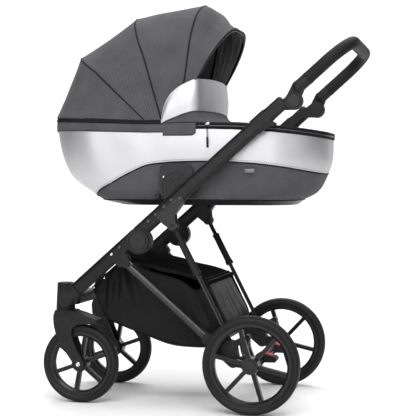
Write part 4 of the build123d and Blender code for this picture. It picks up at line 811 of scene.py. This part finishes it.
FLAP_TOP, FLAP_DROP, FLAP_X, FLAP_LEN, FLAP_Y = 872, 42, -88, 104, 207.5
FLAP_GRID = (8, 24)
for s, nm in SIDES:
    flap = []
    for i in range(FLAP_GRID[0] + 1):
        t = i / FLAP_GRID[0]
        z = FLAP_TOP - FLAP_DROP * t
        row = []
        for j in range(FLAP_GRID[1] + 1):
            f = j / FLAP_GRID[1]
            x = FLAP_X + FLAP_LEN * f
            low = 1.0 - 0.18 * max(0, f - 0.9) * 10 * t
            out = FLAP_Y + 2.4 * math.sin(math.pi * min(1, t + 0.15)) + ripple((x, 0, z), 25, 0.8)
            row.append((x, s * out, FLAP_TOP - FLAP_DROP * t * low))
        flap.append(row)
    o = grid(f"apron_flap_{nm}", flap, M["grey_cloth"], "carrycot", flip=s < 0)


# Mattress

MATTRESS_HEAD, MATTRESS_FOOT, MATTRESS_HALF, MATTRESS_CORNER = -348.0, 340.0, 168.0, 0.72
MATTRESS_PROFILE = ((656, -30), (656.5, -14), (662, -6), (669, -4), (677, -6),
                    (684, -14), (690, -32), (694, -70), (695.5, -120))
# In metres, but for the frames of the cloth simulation
MATTRESS_BED, MATTRESS_VOXEL = 0.6555, 0.006
SWELL_LIMIT, SWELL_FRAMES = 0.006, 16


def mattress_rows():
    """Crowned pad: rings of a profile of (height, outward shift) round a plan with round corners."""
    rows = []
    for z, g in MATTRESS_PROFILE:
        half = MATTRESS_HALF + g
        row = []
        for st in cot_loop(24, 12, 8):
            x, y = plan_point(st, MATTRESS_HEAD - g, MATTRESS_FOOT + g, half, half * MATTRESS_CORNER)[0]
            row.append((x, y, z))
        rows.append(row)
    return rows


mattress = grid("mattress_pad", mattress_rows(), M["mattress_cloth"], None,
                close=True, flip=True)
bm = bmesh.new()
bm.from_mesh(mattress.data)
bmesh.ops.holes_fill(bm, edges=[e for e in bm.edges if e.is_boundary], sides=0)
bmesh.ops.triangulate(bm, faces=[f for f in bm.faces if len(f.verts) > 4])
bmesh.ops.recalc_face_normals(bm, faces=bm.faces)
bm.to_mesh(mattress.data)
bm.free()
remesh = mattress.modifiers.new("remesh", "REMESH")
remesh.mode = "VOXEL"
remesh.voxel_size = MATTRESS_VOXEL
dg = bpy.context.evaluated_depsgraph_get()
me = bpy.data.meshes.new_from_object(mattress.evaluated_get(dg))
mattress.modifiers.clear()
mattress.data = me
rest = [v.co.copy() for v in me.vertices]
cloth = mattress.modifiers.new("cloth", "CLOTH")
cloth.settings.use_pressure = True
cloth.settings.uniform_pressure_force = 3.0
cloth.settings.effector_weights.gravity = 0
cloth.settings.quality = 4
cloth.point_cache.frame_start = 1
cloth.point_cache.frame_end = SWELL_FRAMES
scene = bpy.context.scene
for f in range(1, SWELL_FRAMES + 1):
    scene.frame_set(f)
dg = bpy.context.evaluated_depsgraph_get()
done = bpy.data.meshes.new_from_object(mattress.evaluated_get(dg))
mattress.modifiers.clear()
mattress.data = done
for v, r0 in zip(done.vertices, rest):
    d = v.co - r0
    if d.length > SWELL_LIMIT:
        v.co = r0 + d * (SWELL_LIMIT / d.length)
    v.co.z = max(v.co.z, MATTRESS_BED)
scene.frame_set(1)
done.polygons.foreach_set("use_smooth", [True] * len(done.polygons))
if not done.materials:
    done.materials.append(M["mattress_cloth"])
if not mattress.data.uv_layers.get("UVMap"):
    uv = mattress.data.uv_layers.new(name="UVMap")
    for lp in mattress.data.loops:
        co = mattress.data.vertices[lp.vertex_index].co
        uv.data[lp.index].uv = (co.x, co.y + co.z)
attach(mattress, "carrycot")
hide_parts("mattress")


# Basket

# Share of the run, x and z: the floor's line and the lip's line, seen from the side
B_PROFILE = (
    (0.00, -319, 350), (0.08, -303, 310), (0.15, -275, 258), (0.24, -232, 236), (0.36, -167, 213),
    (0.50, -87, 188), (0.62, -24, 179), (0.72, 44, 180), (0.77, 80, 193), (0.81, 102, 224),
    (0.84, 107, 252), (0.91, 82, 308), (1.00, 48, 376),
)
B_LIP = (
    (0.00, -325, 362), (0.10, -273, 406), (0.20, -222, 447), (0.27, -196, 436), (0.36, -135, 412),
    (0.52, -39, 386), (0.62, 2, 360), (0.72, 18, 357), (0.82, 30, 368), (0.91, 40, 375), (1.00, 48, 380),
)
B_HALF, B_LIMIT = 184.0, 193.0
B_RUN, B_WALL, B_FLOOR = 110, 26, 40


def basket_rows():
    """Cloth tub: each row goes down one wall, over the floor and up the other wall."""
    path = [(-1, j / B_WALL) for j in range(B_WALL)]
    path += [(0, -1 + 2 * j / B_FLOOR) for j in range(B_FLOOR + 1)]
    path += [(1, j / B_WALL) for j in range(B_WALL - 1, -1, -1)]
    rows = []
    for i in range(B_RUN + 1):
        t = i / B_RUN
        px, pz = curve_at(B_PROFILE, t)
        lx, lz = curve_at(B_LIP, t)
        depth = math.hypot(px - lx, pz - lz)
        row = []
        for kind, f in path:
            if kind == 0:
                e = abs(f)
                sag = 7 * (1 - e ** 2) * math.sin(math.pi * min(1, t * 1.05))
                lift = 16 * max(0, (e - 0.82) / 0.18) ** 2
                p = Vector((px, f * (B_HALF - 4), pz))
                inward = Vector((-20 - px, 0, 300 - pz)).normalized()
                p += inward * (lift - sag * 0.4)
                p += inward * ripple(p, 9, 5.0)
                if t > 0.8:
                    upright = math.sin(math.pi * min(1.0, (t - 0.8) / 0.2))
                    pleat = math.sin(f * 17 + 1.5 * math.sin(f * 5)) + 0.3 * math.sin(f * 31)
                    p += inward * pleat * upright * (1 - e ** 6)
                row.append(tuple(p))
            else:
                x, z = lx + (px - lx) * f, lz + (pz - lz) * f
                belly = 5 * math.sin(math.pi * f) * min(1, depth / 120)
                tight = math.exp(-((x + 205) / 46) ** 2) * math.exp(-((z - 395) / 90) ** 2)
                folds = 11.0 * math.sin((x + 0.30 * z) * 0.105) * tight
                hang = math.exp(-((x + 262) / 40) ** 2) * math.sin(math.pi * min(1.0, f * 1.1))
                folds += 9.0 * math.sin((x - 0.12 * z) * 0.16) * hang
                slack = math.exp(-((x - 10) / 45) ** 2) * math.sin(math.pi * f)
                folds += 9.0 * math.sin((x + 0.55 * z) * 0.12) * slack
                d = (x + 120) * 0.62 - (z - 300) * 0.78
                folds += 4.0 * math.sin(d * 0.052) * math.exp(-((f - 0.62) / 0.3) ** 2) * min(1, depth / 110)
                crumple = ripple((x, kind * 50, z), 11, 6.0)
                folds += crumple * math.sin(math.pi * min(1, f * 1.05)) * min(1, depth / 90)
                y = B_HALF - 3 + belly * 0.5 + folds * 0.75
                row.append((x, kind * min(y, B_LIMIT), z))
        rows.append(row)
    return rows


basket = grid("basket_cloth", basket_rows(), M["black_cloth"], "front_frame")
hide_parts("basket_tub")
for s, nm in SIDES:
    line = [curve_at(B_LIP, 0.02 + 0.96 * i / 60) for i in range(61)]
    lip = [(x, s * (B_HALF - 2.0), z) for x, z in line]
    tube(f"basket_lip_{nm}", lip, 2.6, M["tape"], "front_frame")

# Share of the run, x and z of the lid's line
LID = (
    (0.0, -244, 476), (0.09, -218, 459), (0.26, -150, 440), (0.45, -98, 427),
    (0.80, 5, 402), (0.95, 46, 388), (0.97, 49, 385), (1.0, 50, 374),
)
LID_HALF, LID_GRID = 186, (40, 48)


def lid_drop(f):
    """Fall of the lid at its side edges, for f from -1 to 1 across it."""
    return 10 * max(0, (abs(f) - 0.93) / 0.07) ** 1.5


lid_rows = []
for i in range(LID_GRID[0] + 1):
    t = i / LID_GRID[0]
    x, z = curve_at(LID, t)
    row = []
    for j in range(LID_GRID[1] + 1):
        f = -1 + 2 * j / LID_GRID[1]
        sag = 6 * (1 - f * f) * max(0.0, math.sin(math.pi * min(1, t * 1.05))) ** 0.8
        crease = 1.2 * math.sin(f * 9 + x * 0.05) * math.sin(math.pi * t)
        crease += ripple((x, f * 180, 0), 14, 3.0) * math.sin(math.pi * min(1, t * 1.02))
        row.append((x, f * LID_HALF, z - lid_drop(f) - sag + crease))
    lid_rows.append(row)
lid = grid("basket_lid_cloth", lid_rows, M["lid_cloth"], "front_frame")
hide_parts("basket_lid")
for x, z, r, nm in ((47.5, 387.5, 2.2, "piping"), (36.0, 392.5, 1.3, "seam")):
    line = [(x, (LID_HALF - 1) * f / 20, z - lid_drop(f / 20)) for f in range(-20, 21)]
    tube(f"basket_lid_{nm}", line, r, M["tape"], "front_frame", sides=6)


# Small trim

HINGE = (-153.0, 510.0)
TUBE_TILT = math.radians(41.4)
UX, UZ = math.cos(TUBE_TILT), math.sin(TUBE_TILT)
TUBE_FACE, BRACKET_FACE, BASKET_FACE, RIVET_RISE = 248.0, 251.4, 185.5, 26
FORK_X, FORK_Y, FORK_Z, FORK_HALF = -359, 186, 122.5, 30
GRIP_START, GRIP_RISE, GRIP_Y, CUFF_R = 706, 22, 239, 19.6
BRAKE_PAD_Y = 105
# Turned profiles of (radius, height)
RIVET = ((4.4, -0.4), (4.4, 0.5), (3.7, 1.3), (2.1, 1.8), (1.9, 1.3), (0.4, 1.2))
SCREW = ((4.0, 0.0), (4.0, 0.9), (3.2, 1.5), (1.8, 1.6), (1.6, 0.9), (0.3, 0.8))
BASKET_STUD = ((4.0, -1.5), (4.0, 0.6), (3.2, 1.5), (1.4, 1.9), (0.4, 1.9))
FORK_BOLT = ((7.5, -0.3), (7.5, 1.2), (6.2, 2.4), (3.2, 2.6), (3.0, 1.4), (0.4, 1.3))
PLATE_STUD = ((3.5, -0.2), (3.4, 1.0), (2.4, 2.0), (0.4, 2.2))
COT_BOSS = ((9.0, 0.0), (9.0, 16.0), (8.0, 18.5), (4.5, 19.0), (4.0, 17.5), (0.4, 17.3))


def on_tube(t, n):
    """Point (x, z) at a length t up the push tube's line from the hinge and n square to it."""
    return HINGE[0] + t * UX - n * UZ, HINGE[1] + t * UZ + n * UX


def both_sides(places, y):
    """Spots for lathe on both sides, from places (x, z)."""
    return [(x, s * y, z, s) for s, _ in SIDES for x, z in places]


for name, lengths, look, body in (
    ("tube_rivets_upper", (63, 94, 130, 160), "rivet", "upper_frame"),
    ("tube_rivets_lower", (-59,), "rivet", "front_frame"),
    ("tube_studs_lower", (-92,), "stud", "front_frame"),
):
    spots = both_sides([on_tube(t, RIVET_RISE) for t in lengths], TUBE_FACE)
    lathe(name, spots, RIVET, M[look], body)
spots = both_sides([on_tube(184, 12)], BRACKET_FACE)
lathe("bracket_screws", spots, SCREW, M["rivet"], "upper_frame")
spots = both_sides([(-283, 391)], BASKET_FACE) + both_sides([(-317, 361)], BASKET_FACE)
lathe("basket_studs", spots, BASKET_STUD, M["stud"], "front_frame")

for s, nm in SIDES:
    pad = [(x, s * BRAKE_PAD_Y, z) for x, z in ((207, 163.4), (210, 163.0), (236, 156.4), (239, 155.4))]
    tube(f"brake_pad_{nm}", pad, (17.0, 1.6), M["red"], "brake", sides=16)
for s, nm in SIDES:
    bolts = [(FORK_X, s * (FORK_Y + FORK_HALF), FORK_Z, s), (FORK_X, s * (FORK_Y - FORK_HALF), FORK_Z, -s)]
    lathe(f"fork_bolt_{nm}", bolts, FORK_BOLT, M["stud"], f"fork_{nm}")
    lathe(f"plate_stud_{nm}", [(-84, s * 213, 705, s)], PLATE_STUD, M["stud"], "carrycot")
    lathe(f"cot_boss_{nm}", [(-107, s * 190, 646, s)], COT_BOSS, M["plate_plastic"], "carrycot")
for s, nm in SIDES:
    cuff = [on_tube(GRIP_START + d, GRIP_RISE) for d in (-2.0, -0.5, 3.5, 5.0)]
    cuff = [(x, s * GRIP_Y, z) for x, z in cuff]
    tube(f"grip_cuff_{nm}", cuff, CUFF_R, M["grip_leather"], "handle", sides=32)

tag = [(166, -207.2, 723), (167.5, -207.6, 723), (196.5, -207.6, 723), (198, -207.2, 723)]
tube("cot_tag", tag, (1.0, 6.0), M["tag"], "carrycot", sides=16)

strap = [(52, -213.0, 860), (52, -213.2, 848), (52.4, -213.0, 834), (52.6, -212.6, 822)]
tube("zip_pull_strap", strap, (2.6, 1.2), M["lid_cloth"], "carrycot")
pull = [(52.6, -212.4, 825), (52.7, -212.3, 818), (52.8, -212.1, 806), (52.9, -211.9, 797),
        (52.9, -211.9, 794)]
tube("zip_pull_grip", pull, (5.2, 2.6), M["tape"], "carrycot", sides=12)
slider = [(45, -210.5, 866), (60, -210.5, 866)]
tube("zip_slider", slider, (2.6, 4.2), M["stud"], "carrycot", sides=10)


# Stage, light and camera

FLOOR_FRONT, FLOOR_STEP, FLOOR_BACK = -9, 4.5, 4.5
SWEEP_R, SWEEP_STEPS, SWEEP_TOP, SWEEP_HALF = 3.0, 20, 9.0, 14
paper = bpy.data.materials.new("paper")
paper.use_nodes = True
b = paper.node_tree.nodes["Principled BSDF"]
b.inputs["Base Color"].default_value = (0.92, 0.92, 0.92, 1)
b.inputs["Roughness"].default_value = 0.9
b.inputs["Specular IOR Level"].default_value = 0.2

sweep = [(FLOOR_FRONT + FLOOR_STEP * i, 0.0) for i in range(4)]
for i in range(SWEEP_STEPS + 1):
    a = i / SWEEP_STEPS * math.pi / 2
    sweep.append((FLOOR_BACK + SWEEP_R * math.sin(a), SWEEP_R - SWEEP_R * math.cos(a)))
sweep.append((FLOOR_BACK + SWEEP_R, SWEEP_TOP))
verts = [(x, y, z) for y, z in sweep for x in (-SWEEP_HALF, SWEEP_HALF)]
faces = [(2 * i, 2 * i + 1, 2 * i + 3, 2 * i + 2) for i in range(len(sweep) - 1)]
me = bpy.data.meshes.new("backdrop")
me.from_pydata(verts, [], faces)
me.polygons.foreach_set("use_smooth", [True] * len(me.polygons))
me.materials.append(paper)
backdrop = bpy.data.objects.new("backdrop", me)
bpy.context.scene.collection.objects.link(backdrop)

world = bpy.data.worlds.new("studio")
bpy.context.scene.world = world
world.use_nodes = True
bg = world.node_tree.nodes["Background"]
bg.inputs["Color"].default_value = (1, 1, 1, 1)
bg.inputs["Strength"].default_value = 0.12

# Name, place, target, size and power of each area light
LIGHTS = (
    ("key", (0.3, -3.4, 3.2), (0, 0, 0.6), (4.2, 3.0), 182),
    ("front", (-0.65, -3.6, 1.1), (0, 0, 0.8), (1.3, 1.6), 20),
    ("fill", (3.2, -2.0, 1.8), (0, 0, 0.6), (1.6, 2.0), 6),
    ("top", (0.2, 0.6, 4.0), (0, 0, 0.4), (4.5, 4.0), 165),
    ("wall", (-1.75, 3.4, 5.6), (-1.75, 7.5, 1.6), (5.0, 2.0), 290),
)
for name, loc, target, size, power in LIGHTS:
    d = bpy.data.lights.new(name, "AREA")
    d.shape = "RECTANGLE"
    d.size, d.size_y = size
    d.energy = power
    o = bpy.data.objects.new(name, d)
    o.location = loc
    o.rotation_euler = (Vector(target) - Vector(loc)).to_track_quat("-Z", "Y").to_euler()
    bpy.context.scene.collection.objects.link(o)

# Camera fitted to the photograph: focal length in pixels of its width, place, yaw and pitch
PHOTO_WIDTH, FOCAL_PIXELS, SENSOR = 416, 1197.02, 36
CAMERA_PLACE = (0.8826, -3.7330, 0.6987)
YAW, PITCH = math.radians(13.223), math.radians(1.390)
cam = bpy.data.cameras.new("camera")
cam.lens = FOCAL_PIXELS / PHOTO_WIDTH * SENSOR
cam.sensor_width = SENSOR
cam.clip_end = 60
co = bpy.data.objects.new("camera", cam)
co.location = CAMERA_PLACE
d = Vector((-math.sin(YAW) * math.cos(PITCH), math.cos(YAW) * math.cos(PITCH), -math.sin(PITCH)))
co.rotation_euler = d.to_track_quat("-Z", "Y").to_euler()
bpy.context.scene.collection.objects.link(co)
bpy.context.scene.camera = co
bpy.context.scene.view_settings.view_transform = "Standard"
